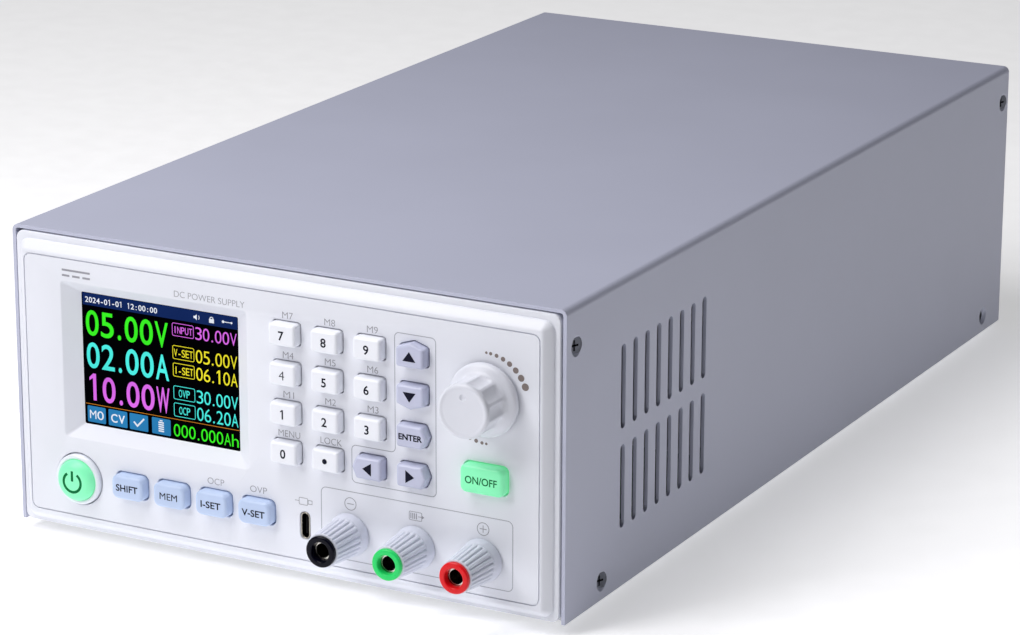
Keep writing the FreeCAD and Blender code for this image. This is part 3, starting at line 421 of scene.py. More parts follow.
def lettering(bm, text, x, z, height, out, width=None, weight=0.0, align=0.0, depth=INK):
    """Raised flat lettering; height is the capitals', align -1, 0 or 1 is left to right."""
    curve = bpy.data.curves.new("lettering", "FONT")
    curve.body = text
    curve.size = 1.0
    curve.offset = weight
    curve.resolution_u = 6
    curve.extrude = 0.01
    carrier = bpy.data.objects.new("lettering", curve)
    bpy.context.scene.collection.objects.link(carrier)
    graph = bpy.context.evaluated_depsgraph_get()
    mesh = bpy.data.meshes.new_from_object(carrier.evaluated_get(graph))
    bpy.data.objects.remove(carrier)
    bpy.data.curves.remove(curve)
    xs = [vertex.co.x for vertex in mesh.vertices]
    left, right = min(xs), max(xs)
    up = height / (CAPITAL + 2 * weight)
    across = width / (right - left) if width else up
    start = {-1.0: left, 0.0: (left + right) / 2, 1.0: right}[float(align)]
    for vertex in mesh.vertices:
        rise = depth if vertex.co.z > 0 else -depth
        vertex.co = spot(x + (vertex.co.x - start) * across, out + rise,
                         z + (vertex.co.y - CAPITAL / 2) * up)
    bm.from_mesh(mesh)
    bpy.data.meshes.remove(mesh)


def ribbon(bm, points, width, out, closed=False, depth=INK):
    """Drawn line of constant width along (x, z) points."""
    count = len(points)
    left, right = [], []
    for i in range(count):
        here = Vector(points[i])
        before = Vector(points[i - 1]) if i or closed else None
        after = Vector(points[(i + 1) % count]) if i < count - 1 or closed else None
        first = (here - before).normalized() if before else (after - here).normalized()
        second = (after - here).normalized() if after else first
        normal = Vector((-first.y - second.y, first.x + second.x)).normalized()
        reach = width / 2 / max(0.3, normal.dot(Vector((-second.y, second.x))))
        left.append(here + normal * reach)
        right.append(here - normal * reach)
    quads = []
    for i in range(count if closed else count - 1):
        j = (i + 1) % count
        quads.append((right[i], right[j], left[j], left[i]))
    if closed:
        for quad in quads:
            loft(bm, [at_out(quad, out - depth), at_out(quad, out + depth)])
    else:
        outline = right + left[::-1]
        loft(bm, [at_out(outline, out - depth), at_out(outline, out + depth)])


def plate(bm, outline, out, depth=INK):
    """Filled flat shape."""
    loft(bm, [at_out(outline, out - depth), at_out(outline, out + depth)])


def numeral_one(bm, x, z, width, height, stroke, out, depth=INK):
    """Figure one with a slanting flag."""
    right = x + stroke * 0.7
    left = right - stroke
    top, low = z + height / 2, z - height / 2
    plate(bm, [(left, low), (right, low), (right, top), (left + stroke * 0.1, top),
               (left - width * 0.3, top - height * 0.16),
               (left - width * 0.3, top - height * 0.27), (left, top - height * 0.17)],
          out, depth)


def bend(cx, cz, radius, start, stop, steps=8):
    """Arc of (x, z) points, in degrees."""
    points = []
    for step in range(steps + 1):
        angle = math.radians(start + (stop - start) * step / steps)
        points.append((cx + radius * math.cos(angle), cz + radius * math.sin(angle)))
    return points


def disc(cx, cz, radius, steps=20):
    """Circle as an outline."""
    return bend(cx, cz, radius, 0, 360 - 360 / steps, steps - 1)


# ------------------------------------------------------------ carried-over nodes
FINISHES = {
    "top_cover": "powder_coat", "rear_panel": "rear_coat", "bottom_chassis": "zinc_steel",
    "lcd_glass": "display_glass", "lcd_module": "display_frame",
    "control_board": "circuit_board", "main_board": "circuit_board",
    "key_switches": "black_plastic", "encoder_plunger": "black_plastic",
    "encoder_body": "display_frame", "encoder_shaft": "display_frame",
    "post_studs": "nickel_plate",
    "board_standoffs": "nickel_plate", "mains_module": "module_case",
    "heat_sink": "heat_sink_aluminium", "capacitors": "capacitor_sleeve",
    "choke": "choke_copper", "fan_frame": "black_plastic", "fan_rotor": "black_plastic",
    "iec_inlet": "black_plastic", "fuse_drawer": "black_plastic",
    "rubber_feet": "foot_rubber", "output_wires": "wire_sleeve",
    "ribbon_cable": "ribbon_sleeve", "fan_screws": "dark_nickel",
}


def dress_nodes():
    """Finishes of the parts that are shown as they come."""
    for name, finish_name in FINISHES.items():
        mesh = NODES[name].data
        mesh.materials.clear()
        mesh.materials.append(material(finish_name))


def declare(obj, body, slot, *replaced):
    """Body that a piece rides and the nodes it stands for; the slot is not used."""
    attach(obj, body)
    if replaced:
        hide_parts(*replaced)
    return obj


# ---------------------------------------------------------------- front bezel
DIGITS = {"key_7": "7", "key_8": "8", "key_9": "9", "key_4": "4", "key_5": "5", "key_6": "6",
          "key_1": "1", "key_2": "2", "key_3": "3", "key_0": "0", "key_point": "."}
POINTED = {"up_key": 0, "down_key": 180, "enter_key": -90, "right_key": -90, "left_key": 90}
SOFT = {"shift_key": "SHIFT", "memory_key": "MEM", "current_key": "I-SET",
        "voltage_key": "V-SET"}
SOFT_WIDTH = {"shift_key": 6.9, "memory_key": 5.5, "current_key": 6.2, "voltage_key": 7.1}
KEY_GAP = 0.25
LIP = 0.75


def key_size(node):
    """Cap width and height: the node's box less its lip."""
    low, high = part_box(node)
    lip = 2 * (KEY_GAP + LIP)
    return (high.x - low.x) / MM - lip, (high.z - low.z) / MM - lip


def key_outline(node):
    """Cap outline about the key's own centre, and that centre."""
    x, z = middle(node)
    if node not in POINTED:
        width, height = key_size(node)
        return rectangle(width, height), x, z
    column, row = key_grid(node)
    turn = math.radians(POINTED[node])
    sideways = node in ("enter_key", "right_key", "left_key")
    across, base, top = (3.0, 4.05, 3.4) if sideways else (4.05, 3.0, 2.15)
    outline = [(-across, -base), (across, -base), (across, top), (0.0, top + 1.3, 0.5),
               (-across, top)]
    cos, sin = math.cos(turn), math.sin(turn)
    spun_outline = []
    for point in outline:
        moved = (point[0] * cos - point[1] * sin, point[0] * sin + point[1] * cos)
        spun_outline.append(moved + tuple(point[2:]))
    return spun_outline, column, row


def key_grid(node):
    """Grid place of an arrow key, from its neighbours among the number keys."""
    first, corner = middle("key_0"), middle("key_9")
    step = (corner[0] - first[0]) / 2
    rows = {"up_key": 3, "down_key": 2, "enter_key": 1, "right_key": 0, "left_key": 0}
    column = 2 if node == "left_key" else 3
    return first[0] + step * column, first[1] + (corner[1] - first[1]) / 3 * rows[node]


CUT_FROM = -0.4
RIM_SIZE, RIM_MIDDLE, RIM_CORNER = (165.0, 82.2), 41.5, 2.2
FACE_SIZE, FACE_MIDDLE, FACE_CORNER = (162.0, 79.1), 41.25, 2.8
HOLLOW_SIZE, HOLLOW_CORNER = (156.0, 73.0), 2.0
SKIRT_LOW, SKIRT_HIGH = (80.6, -10.9, 15.0), (82.4, -1.6, 82.0)
SMALL_KEY_CORNER, LIT_KEY_CORNER = 0.7, 1.4
SOCKET_OPENING, SOCKET_CORNER = (2.6, 7.2), 1.15
DISPLAY_OPENING, DISPLAY_CORNER = (49.4, 37.1), 0.4
RECESS_MOUTH, RECESS_CORNER = (58.6, 43.9), 1.2
GROOVE_SIZE, GROOVE_MIDDLE, GROOVE_CORNER = (156.8, 72.65), 41.375, 2.2
GROOVE_WIDTH, GROOVE_DEPTH = 0.34, 0.45


def hole_cutter(bm, outline, radius, x, z):
    """Closed cutter with a small flare where it meets the face."""
    levels = ((0.0, CUT_FROM), (0.0, FACE_OUT - 0.18), (0.18, FACE_OUT), (0.30, FACE_OUT + 0.12))
    loft(bm, [at_out(rounded(outline, radius, -KEY_GAP - flare), out, x, z)
              for flare, out in levels])


def round_cutter(bm, node, radius):
    """Round cutter on a node's axis, flared where it meets the face."""
    profile = ((0, CUT_FROM), (radius, CUT_FROM), (radius, FACE_OUT - 0.15),
               (radius + 0.15, FACE_OUT), (radius + 0.27, FACE_OUT + 0.12),
               (0, FACE_OUT + 0.12))
    spun(bm, profile, *middle(node), 64)


def shell_block(settings):
    """Bezel before any opening: rim, bevelled face and hollow back."""
    rim = rectangle(*RIM_SIZE, 0.0, RIM_MIDDLE)
    face = rectangle(*FACE_SIZE, 0.0, FACE_MIDDLE)
    hollow = rounded(rectangle(*HOLLOW_SIZE, 0.0, FACE_MIDDLE), HOLLOW_CORNER)
    bevel = settings.bevel / MM
    rim_levels = ((0.0, RIM_BACK), (0.0, RIM_OUT - 0.3), (0.09, RIM_OUT - 0.09),
                  (0.3, RIM_OUT))
    face_levels = ((-0.06, RIM_OUT), (0.0, RIM_OUT + 0.06), (0.0, FACE_OUT - bevel - 0.35),
                   (0.1, FACE_OUT - bevel - 0.1), (0.32, FACE_OUT - bevel + 0.2),
                   (bevel - 0.35, FACE_OUT - 0.4), (bevel - 0.1, FACE_OUT - 0.2),
                   (bevel + 0.15, FACE_OUT - 0.05), (bevel + 0.45, FACE_OUT),
                   (bevel + 0.75, FACE_OUT))
    rings = [at_out(hollow, WALL_IN), at_out(hollow, RIM_BACK)]
    rings += [at_out(rounded(rim, RIM_CORNER, inset), out) for inset, out in rim_levels]
    rings += [at_out(rounded(face, FACE_CORNER, inset), out) for inset, out in face_levels]
    bm = bmesh.new()
    loft(bm, rings)
    return finish_mesh(bm, "bezel_block")


def boss_and_skirt():
    """Thick wall round the display, and the side skirts that reach back into the cover."""
    wide, high = 63.0, 48.0
    bm = bmesh.new()
    x, z = middle("lcd_glass")
    brick(bm, (x - wide / 2, 0.0, z - high / 2), (x + wide / 2, WALL_IN + 0.4, z + high / 2))
    (inner, back, low), (outer, front, top) = SKIRT_LOW, SKIRT_HIGH
    for left, right in ((-outer, -inner), (inner, outer)):
        brick(bm, (left, back, low), (right, front, top))
    return finish_mesh(bm, "boss")


ROUND_HOLES = {"power_button_ring": 7.4, "tuning_knob": 4.3, "negative_post_ring": 4.05,
               "ground_post_ring": 4.05, "positive_post_ring": 4.05}


def opening_cutters():
    """Every opening of the face: keys, socket, round holes and the tapered display recess."""
    bm = bmesh.new()
    for name in list(DIGITS) + list(POINTED):
        outline, x, z = key_outline(name)
        hole_cutter(bm, outline, SMALL_KEY_CORNER, x, z)
    for name in list(SOFT) + ["output_key"]:
        outline, x, z = key_outline(name)
        hole_cutter(bm, outline, LIT_KEY_CORNER, x, z)
    hole_cutter(bm, rectangle(*SOCKET_OPENING), SOCKET_CORNER, *middle("usb_socket"))
    for node, radius in ROUND_HOLES.items():
        round_cutter(bm, node, radius)
    x, z = middle("lcd_glass")
    narrow = rounded(rectangle(*DISPLAY_OPENING, x, z), DISPLAY_CORNER)
    wide = rectangle(*RECESS_MOUTH, x + 0.1, z - 0.1)
    levels = ((0.25, FACE_OUT - 0.22), (0.06, FACE_OUT - 0.06), (-0.25, FACE_OUT + 0.02),
              (-0.5, FACE_OUT + 0.1))
    loft(bm, [at_out(narrow, -0.6), at_out(narrow, 0.02)]
         + [at_out(rounded(wide, RECESS_CORNER, inset), out) for inset, out in levels])
    return finish_mesh(bm, "openings")


def groove_cutter():
    """Fine channel that runs round the face near its edge."""
    bm = bmesh.new()
    line = rectangle(*GROOVE_SIZE, 0.0, GROOVE_MIDDLE)
    bottom, top = FACE_OUT - GROOVE_DEPTH, FACE_OUT + 0.2
    outer, inner = rounded(line, GROOVE_CORNER), rounded(line, GROOVE_CORNER, GROOVE_WIDTH)
    rings = [at_out(outer, bottom), at_out(outer, top), at_out(inner, top), at_out(inner, bottom)]
    layers = loft(bm, rings, caps=False)
    count = len(layers[0])
    for i in range(count):
        j = (i + 1) % count
        bm.faces.new((layers[3][i], layers[3][j], layers[0][j], layers[0][i]))
    return finish_mesh(bm, "groove")


def combine(mesh, tools):
    """Boolean each (operation, mesh) into the first mesh, exactly."""
    base = bpy.data.objects.new("base", mesh)
    bpy.context.scene.collection.objects.link(base)
    helpers = []
    for operation, tool in tools:
        helper = bpy.data.objects.new("tool", tool)
        bpy.context.scene.collection.objects.link(helper)
        helpers.append(helper)
        modifier = base.modifiers.new("cut", "BOOLEAN")
        modifier.operation = operation
        modifier.solver = "EXACT"
        modifier.object = helper
    graph = bpy.context.evaluated_depsgraph_get()
    result = bpy.data.meshes.new_from_object(base.evaluated_get(graph))
    for helper in helpers:
        bpy.data.objects.remove(helper)
    bpy.data.objects.remove(base)
    return result


def clean(mesh, distance=0.000004):
    """Merge doubles left by a cut and face outwards."""
    bm = bmesh.new()
    bm.from_mesh(mesh)
    bmesh.ops.remove_doubles(bm, verts=bm.verts, dist=distance)
    bmesh.ops.dissolve_degenerate(bm, edges=bm.edges, dist=distance)
    bmesh.ops.recalc_face_normals(bm, faces=bm.faces)
    bm.to_mesh(mesh)
    bm.free()
    smooth(mesh)
    return mesh


def build_bezel(settings):
    """Moulded front with its boss, skirts, openings and groove."""
    mesh = combine(shell_block(settings), [("UNION", boss_and_skirt()),
                                           ("DIFFERENCE", opening_cutters()),
                                           ("DIFFERENCE", groove_cutter())])
    obj = add_object("bezel_moulding", clean(mesh), ["bezel_plastic"])
    declare(obj, "case", "bezel_plastic", "front_bezel")


# ----------------------------------------------------------------------- keys
def key_cap(bm, outline, x, z, radius, round_edge):
    """Soft-edged cap with its retaining lip and the stem that meets its switch."""
    lip = rounded(outline, radius, -KEY_GAP - LIP)
    rings = [at_out(lip, -0.1, x, z), at_out(lip, WALL_IN - 0.1, x, z),
             at_out(rounded(outline, radius), WALL_IN - 0.1, x, z)]
    steps = 5
    for step in range(steps + 1):
        angle = math.pi / 2 * step / steps
        inset = round_edge * (1 - math.cos(angle))
        height = KEY_OUT - round_edge * (1 - math.sin(angle))
        rings.append(at_out(rounded(outline, radius, inset), height, x, z))
    rings.append(at_out(rounded(outline, radius, round_edge + 0.12), KEY_OUT, x, z))
    loft(bm, rings)
    spun(bm, ((0, STEM_END), (STEM_RADIUS, STEM_END), (STEM_RADIUS, -0.15), (0, -0.15)), x, z, 24)


def paint(mesh, first_ink_face):
    """Second material from one face onwards."""
    for face in mesh.polygons[first_ink_face:]:
        face.material_index = 1


def inked_piece(name, body, node, plastic, ink, draw_body, draw_ink):
    """Moulding and its legend as one piece with two materials."""
    bm, legend = bmesh.new(), bmesh.new()
    draw_body(bm)
    bmesh.ops.recalc_face_normals(bm, faces=bm.faces)
    count = len(bm.faces)
    draw_ink(legend)
    bmesh.ops.recalc_face_normals(legend, faces=legend.faces)
    legend_mesh = bpy.data.meshes.new("legend")
    legend.to_mesh(legend_mesh)
    legend.free()
    bm.from_mesh(legend_mesh)
    bpy.data.meshes.remove(legend_mesh)
    mesh = bpy.data.meshes.new(name)
    bm.to_mesh(mesh)
    bm.free()
    smooth(mesh)
    obj = add_object(name, mesh, [plastic, ink])
    paint(mesh, count)
    declare(obj, body, plastic, node)


def inked_key(node, plastic, ink, radius, round_edge, draw_ink):
    """Key cap with the legend that draw_ink prints about its centre."""
    outline, x, z = key_outline(node)

    def cap(bm):
        key_cap(bm, outline, x, z, radius, round_edge)

    def legend(bm):
        draw_ink(bm, x, z)
    inked_piece(node + "_cap", node, node, plastic, ink, cap, legend)


def build_number_keys(settings):
    """Number keys and the point key."""
    high = settings.digit_height / MM
    for node, sign in DIGITS.items():
        def ink(bm, x, z):
            if sign == ".":
                plate(bm, disc(x, z, 0.72, 24), KEY_OUT)
            elif sign == "1":
                numeral_one(bm, x, z, 1.6, high, 0.42, KEY_OUT)
            else:
                lettering(bm, sign, x, z, high, KEY_OUT, weight=-0.012 if sign == "4" else 0.016)
        inked_key(node, "number_key_plastic", "key_ink", 0.9, settings.round_edge / MM, ink)


ARROWS = {"up_key": 90, "down_key": -90, "left_key": 180, "right_key": 0}


def build_arrow_keys(settings):
    """Pointed keys; the enter key has a word."""
    tip, back = 1.35, -1.25
    for node in POINTED:
        def ink(bm, x, z):
            if node == "enter_key":
                lettering(bm, "ENTER", x + 0.25, z, 1.75, KEY_OUT, width=6.9, weight=0.028)
                return
            turn = math.radians(ARROWS[node])
            half = 1.75 if node in ("left_key", "right_key") else 1.9
            corners = []
            for along, side in ((tip, 0.0), (back, half), (back, -half)):
                corners.append((x + along * math.cos(turn) - side * math.sin(turn),
                                z + along * math.sin(turn) + side * math.cos(turn)))
            plate(bm, corners, KEY_OUT)
        inked_key(node, "arrow_key_plastic", "key_ink", 0.8, settings.round_edge / MM, ink)


def build_function_keys(settings):
    """Lit function keys and the output key."""
    edge = settings.round_edge / MM
    for node, text in SOFT.items():
        def ink(bm, x, z):
            lettering(bm, text, x, z, 2.0, KEY_OUT, width=SOFT_WIDTH[node],
                      weight=0.0 if "M" in text else 0.016)
        inked_key(node, "function_key_plastic", "key_ink", 1.9, edge * 1.1, ink)

    def output_ink(bm, x, z):
        lettering(bm, "ON/OFF", x, z, 2.1, KEY_OUT, width=9.2, weight=0.012)
    inked_key("output_key", "output_key_plastic", "green_ink", 1.7, edge * 1.2, output_ink)


def build_power_button():
    """Round button: white ring and a domed lens with the power mark."""
    x, z = middle("power_button_ring")
    rim = (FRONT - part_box("power_button_ring")[0].y) / MM
    top = (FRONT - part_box("power_button_lens")[0].y) / MM
    radius, bore, lens_radius, flat = 7.1, 5.86, 5.8, 3.3
    outer_edge, inner_edge, flange = 0.85, 0.25, 1.1
    bm = bmesh.new()
    profile = [(bore, LENS_BACK), (radius + flange, LENS_BACK),
               (radius + flange, WALL_IN - 0.1), (radius, WALL_IN - 0.1)]
    profile += arc(radius - outer_edge, rim - outer_edge, outer_edge, 90, 6, 8)
    profile += arc(bore + inner_edge, rim - inner_edge, inner_edge, 0, -90, 3)
    spun(bm, profile, x, z, 96)
    ring = add_object("power_ring_moulding", finish_mesh(bm, "power_ring"), ["button_white"])
    declare(ring, "power_button", "button_white", "power_button_ring")
    shoulder = rim - 0.3

    def lens(bm):
        dome = [(0, STEM_END), (STEM_RADIUS, STEM_END), (STEM_RADIUS, LENS_BACK),
                (lens_radius, LENS_BACK), (lens_radius, shoulder)]
        for step in range(1, 11):
            turn = math.radians(9.0 * step)
            dome.append((flat + (lens_radius - flat) * math.cos(turn),
                         shoulder + (top - shoulder) * math.sin(turn)))
        spun(bm, dome + [(0, top)], x, z, 96)

    def mark(bm):
        ribbon(bm, bend(x, z, 2.75, 124, 416, 36), 0.75, top)
        ribbon(bm, [(x, z + 0.3), (x, z + 3.2)], 0.75, top)
    inked_piece("power_lens_moulding", "power_button", "power_button_lens", "power_lens_plastic",
                "green_ink", lens, mark)


# ------------------------------------------------------------------------ knob
KNOB_BORE, KNOB_BORE_END = 3.02, 14.1
KNOB_RECESS, KNOB_RECESS_END = 4.5, 8.6
CHAMFER, NOSE_RISE = 0.6, 3.1


def build_knob(settings):
    """Skirted knob with scooped flutes, a bore for its shaft and a finger dimple."""
    x, z = middle("tuning_knob")
    low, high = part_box("tuning_knob")
    top = (FRONT - low.y) / MM
    base = (FRONT - high.y) / MM
    skirt = (high.x - low.x) / 2 / MM
    grip = settings.grip_radius / MM
    count = settings.flutes
    depth = settings.flute_depth / MM
    scoop = settings.scoop_radius / MM
    reach = grip + scoop - depth
    start, stop = base + NOSE_RISE, top - 1.25

    def fluted(radius, out, angle):
        if out <= start or out >= stop or radius < grip - 1.0:
            return radius
        turn = TAU / count
        off = abs((angle + turn / 2) % turn - turn / 2)
        sunk = reach * math.cos(off) - math.sqrt(scoop ** 2 - (reach * math.sin(off)) ** 2)
        near = min(1.0, (out - start) / 1.4, (stop - out) / CHAMFER)
        lift = depth * 1.6 * (1.0 - math.sqrt(near * (2.0 - near)))
        return min(radius, sunk + lift)

    profile = [(KNOB_BORE, KNOB_BORE_END), (KNOB_BORE, KNOB_RECESS_END),
               (KNOB_RECESS, KNOB_RECESS_END), (KNOB_RECESS, base), (skirt - 0.5, base)]
    profile += arc(skirt - 0.3, base + 0.3, 0.3, 180, 90, 4)
    profile += arc(skirt - 1.6, base + 0.7, 1.6, 90, 30, 7)
    profile += [(grip + 1.05, base + 2.4), (grip + 0.62, base + 2.7), (grip + 0.35, start)]
    for step in range(1, 9):
        part = step / 8
        profile.append((grip + 0.35 * (1 - part) ** 2, start + 1.4 * part))
    span = stop - CHAMFER - base - 4.5
    for step in range(1, 6):
        profile.append((grip, base + 4.5 + span * step / 5))
    for step in range(1, 9):
        profile.append((grip, stop - CHAMFER + CHAMFER * step / 8))
    profile += arc(grip - 0.7, top - 0.7, 0.7, 82, 0, 7)
    profile += [(grip - 1.0, top - 0.03), (grip - 1.25, top - 0.14), (grip - 1.5, top - 0.18),
                (0, top - 0.2)]
    bm = bmesh.new()
    spun(bm, [(0, KNOB_BORE_END)] + profile, x, z, count * 26, fluted)
    knob = finish_mesh(bm, "knob", 22.0)
    cutter = bmesh.new()
    spun(cutter, ((0, top - 0.55), (0.35, top - 0.53), (0.66, top - 0.45), (0.86, top - 0.32),
                  (0.95, top - 0.18), (1.05, top), (0, top)), x, z + 3.7, 32)
    mesh = clean(combine(knob, [("DIFFERENCE", finish_mesh(cutter, "dimple"))]), 0.000001)
    obj = add_object("knob_moulding", mesh, ["knob_plastic"])
    declare(obj, "knob", "knob_plastic", "tuning_knob")


# -------------------------------------------------------------- binding posts
POSTS = ("negative_post", "ground_post", "positive_post")


RING_SLOTS = ("ring_black", "ring_green", "ring_red")
STUD_CLEAR, COLLAR_BORE = 3.05, 4.0
CAP_BORE, CAP_BACK, CAP_SHOULDER = 3.3, 6.42, 14.5
CAP_BASE, CAP_WIDE, CAP_TAPER, CAP_FRONT = 6.5, 5.46, 0.86, 17.15
CAP_SHARES = (0.02, 0.04, 0.06, 0.08, 0.2, 0.4, 0.6, 0.8, 0.93, 0.96, 0.98, 1.0)
RING_SEAT, RING_STEM, RING_THROAT = 17.2, 3.85, 3.0


def build_posts(settings):
    """Caps and rings of the posts, and their three collars."""
    for post, ring_slot in zip(POSTS, RING_SLOTS):
        x, z = middle(post + "_ring")
        build_post_cap(settings, post, x, z)
        build_post_ring(post, ring_slot, x, z)
    raised = ((5.5, 0.0), (5.55, 0.12), (5.8, 0.14), (5.92, 0.3), (5.93, 0.6), (5.86, 1.1),
              (5.72, 1.8), (5.56, 2.5), (5.48, 3.02))
    profile = [(STUD_CLEAR, FACE_OUT - 3.3), (COLLAR_BORE, FACE_OUT - 3.3),
               (COLLAR_BORE, FACE_OUT)]
    profile += [(radius, FACE_OUT + rise) for radius, rise in raised]
    profile += [(5.4, 6.36), (STUD_CLEAR, 6.36)]
    bm = bmesh.new()
    for post in POSTS:
        spun(bm, profile, *middle(post + "_ring"), 72)
    obj = add_object("post_collar_mouldings", finish_mesh(bm, "collars"), ["post_plastic"])
    declare(obj, "case", "post_plastic", "post_collars")


def build_post_cap(settings, post, x, z):
    """Tapered cap with rounded grooves that run out before its ends."""
    start, stop = CAP_BASE + 0.25, CAP_FRONT - 0.2
    ribs = settings.ribs
    depth = settings.rib_depth / MM

    def ribbed(radius, out, angle):
        if radius < 4.0 or out <= start or out >= stop:
            return radius
        near = min(1.0, (out - start) / 0.7, (stop - out) / 0.35)
        wave = max(0.0, (math.cos(angle * ribs) - 0.15) / 0.85)
        return radius - depth * math.sqrt(near * (2.0 - near)) * wave ** 0.7

    profile = [(CAP_BORE, CAP_SHOULDER), (CAP_BORE, CAP_BACK), (5.4, CAP_BACK),
               (5.47, CAP_BACK + 0.04), (CAP_WIDE, start)]
    length = CAP_FRONT - CAP_BASE - 0.45
    for share in CAP_SHARES:
        profile.append((CAP_WIDE - CAP_TAPER * share, start + length * share))
    profile += [(4.5, CAP_FRONT - 0.08), (4.3, CAP_FRONT), (3.95, CAP_FRONT),
                (3.95, CAP_SHOULDER)]
    bm = bmesh.new()
    spun(bm, profile, x, z, ribs * 10, ribbed)
    obj = add_object(post + "_cap_moulding", finish_mesh(bm, "cap", 60.0), ["post_plastic"])
    declare(obj, post + "_cap", "post_plastic", post + "_cap")


def build_post_ring(post, slot, x, z):
    """Coloured front ring with a flared mouth and a stem inside the cap."""
    low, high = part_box(post + "_ring")
    top = (FRONT - low.y) / MM
    outer = (high.x - low.x) / 2 / MM
    profile = [(CAP_BORE, 14.6), (RING_STEM, 14.6), (RING_STEM, RING_SEAT)]
    profile += arc(outer - 0.25, RING_SEAT + 0.26, 0.25, 180, 90, 3)
    profile += arc(outer - 0.5, top - 0.5, 0.5, 90, 0, 5)
    profile += [(RING_THROAT, top)]
    profile += arc(RING_THROAT, top - 0.4, 0.4, 0, -90, 5)
    profile += [(2.36, 17.05), (CAP_BORE, 17.05)]
    bm = bmesh.new()
    spun(bm, profile, x, z, 72)
    obj = add_object(post + "_ring_moulding", finish_mesh(bm, "ring"), [slot])
    declare(obj, post + "_ring", slot, post + "_ring")


SAME = 1e-7    # metres, for points that lie in one plane or place


def build_socket():
    """Upright data socket: thin plated rim, throat walls and floor painted black as shade inside
    the shell, and a black tongue.
    """
    low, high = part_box("usb_socket")
    x, z = middle("usb_socket")
    width, height = (high.x - low.x) / MM, (high.z - low.z) / MM
    front, back = (FRONT - low.y) / MM, (FRONT - high.y) / MM
    outline = rectangle(width, height)
    round_end = width / 2 - 0.02
    wall, edge, throat, floor = 0.2, 0.05, front - 0.5, back + 1.0
    plated_levels = ((0.0, back), (0.0, front - edge), (edge, front), (wall - edge, front),
                     (wall, front - edge), (wall, throat))
    bm = bmesh.new()
    plated = 0
    for levels, end in ((plated_levels, back), (((wall, throat), (wall, floor)), floor)):
        plated = len(bm.faces)
        loft(bm, [at_out(rounded(outline, round_end, inset), out, x, z)
                  for inset, out in levels], caps=False)
        end_y = spot(0, end, 0)[1]
        bm.faces.new([vert for vert in bm.verts if abs(vert.co.y - end_y) < SAME])
    bmesh.ops.remove_doubles(bm, verts=bm.verts, dist=SAME)
    brick(bm, (x - 0.3, floor - 0.1, z - 2.4), (x + 0.3, front - 0.8, z + 2.4))
    mesh = finish_mesh(bm, "data_socket")
    obj = add_object("data_socket_shell", mesh, ["socket_shell", "socket_black"])
    # Faces from the throat onwards take the second material: black painted on the throat walls and
    # floor as shade inside the shell, and the tongue's own black plastic
    paint(mesh, plated)
    declare(obj, "case", "socket_shell", "usb_socket")


# ------------------------------------------------------------- panel legends
LEGEND_HIGH, LEGEND_WEIGHT = 1.85, -0.012
LABEL_WIDTHS = {"MENU": 6.6, "LOCK": 6.4}
LABEL_SHIFT, LABEL_RISE, LIT_LABEL_RISE = 0.35, 4.75, 5.75
LABEL_WIDTH, LIT_LABEL_WIDTH = 3.2, 5.2
SIGN_SHIFT, SIGN_RISE = 0.3, 8.5
SIGN_RADIUS, SIGN_BAR = 1.7, (2.0, 0.2)
SIGN_LINE = 0.16
KEY_LABELS = {"key_7": "M7", "key_8": "M8", "key_9": "M9", "key_4": "M4", "key_5": "M5",
              "key_6": "M6", "key_1": "M1", "key_2": "M2", "key_3": "M3", "key_0": "MENU",
              "key_point": "LOCK"}


def build_legends(settings):
    """Printed words and signs of the panel, then its outlines."""
    bm = bmesh.new()
    for node, text in KEY_LABELS.items():
        x, z = middle(node)
        lettering(bm, text, x + LABEL_SHIFT, z + LABEL_RISE, LEGEND_HIGH, FACE_OUT,
                  width=LABEL_WIDTHS.get(text, LABEL_WIDTH), weight=LEGEND_WEIGHT)
    for node, text in (("current_key", "OCP"), ("voltage_key", "OVP")):
        x, z = middle(node)
        lettering(bm, text, x, z + LIT_LABEL_RISE, LEGEND_HIGH, FACE_OUT,
                  width=LIT_LABEL_WIDTH, weight=LEGEND_WEIGHT)
    x, z = middle("lcd_glass")
    lettering(bm, "DC POWER SUPPLY", x + 28.9, z + 23.4, 1.75, FACE_OUT, width=21.8,
              weight=-0.014, align=1)
    draw_direct_current(bm, x - 24.0, z + 24.2)
    draw_data_plug(bm, *middle("usb_socket"))
    for post, draw in zip(POSTS, (draw_minus, draw_charge, draw_plus)):
        x, z = middle(post + "_ring")
        draw(bm, x + SIGN_SHIFT, z + SIGN_RISE)
    mesh = finish_mesh(bm, "legends")
    declare(add_object("panel_legends", mesh, ["panel_ink"]), "case", "screw_metal")
    build_outlines(settings.line_width / MM)


def build_outlines(width):
    """Printed lines round the arrow keys and round the posts."""
    bm = bmesh.new()
    left, low, top = 36.4, 29.6, 72.2
    right, step_x, step_z = 48.4, 23.4, 39.8
    r = 1.3
    arrows = (bend(left + r, top - r, r, 180, 90) + bend(right - r, top - r, r, 90, 0)
              + bend(right - r, low + r, r, 0, -90) + bend(step_x + r, low + r, r, 270, 180)
              + bend(step_x + r, step_z - r, r, 180, 90)
              + bend(left - r, step_z + r, r, -90, 0))
    posts = rounded(rectangle(56.7, 19.05, 42.35, 17.27), 1.5)
    for outline in (arrows, posts):
        ribbon(bm, outline, width, FACE_OUT, closed=True, depth=FINE_INK)
    mesh = finish_mesh(bm, "outlines")
    declare(add_object("panel_outlines", mesh, ["line_ink"]), "case", "screw_metal")


def draw_direct_current(bm, x, z):
    """Solid bar over three dashes."""
    bar, apart = 0.55, 0.75
    plate(bm, rectangle(9.0, bar, x, z + apart), FACE_OUT)
    for place in (-3.3, 0.0, 3.3):
        plate(bm, rectangle(2.4, bar, x + place, z - apart), FACE_OUT)


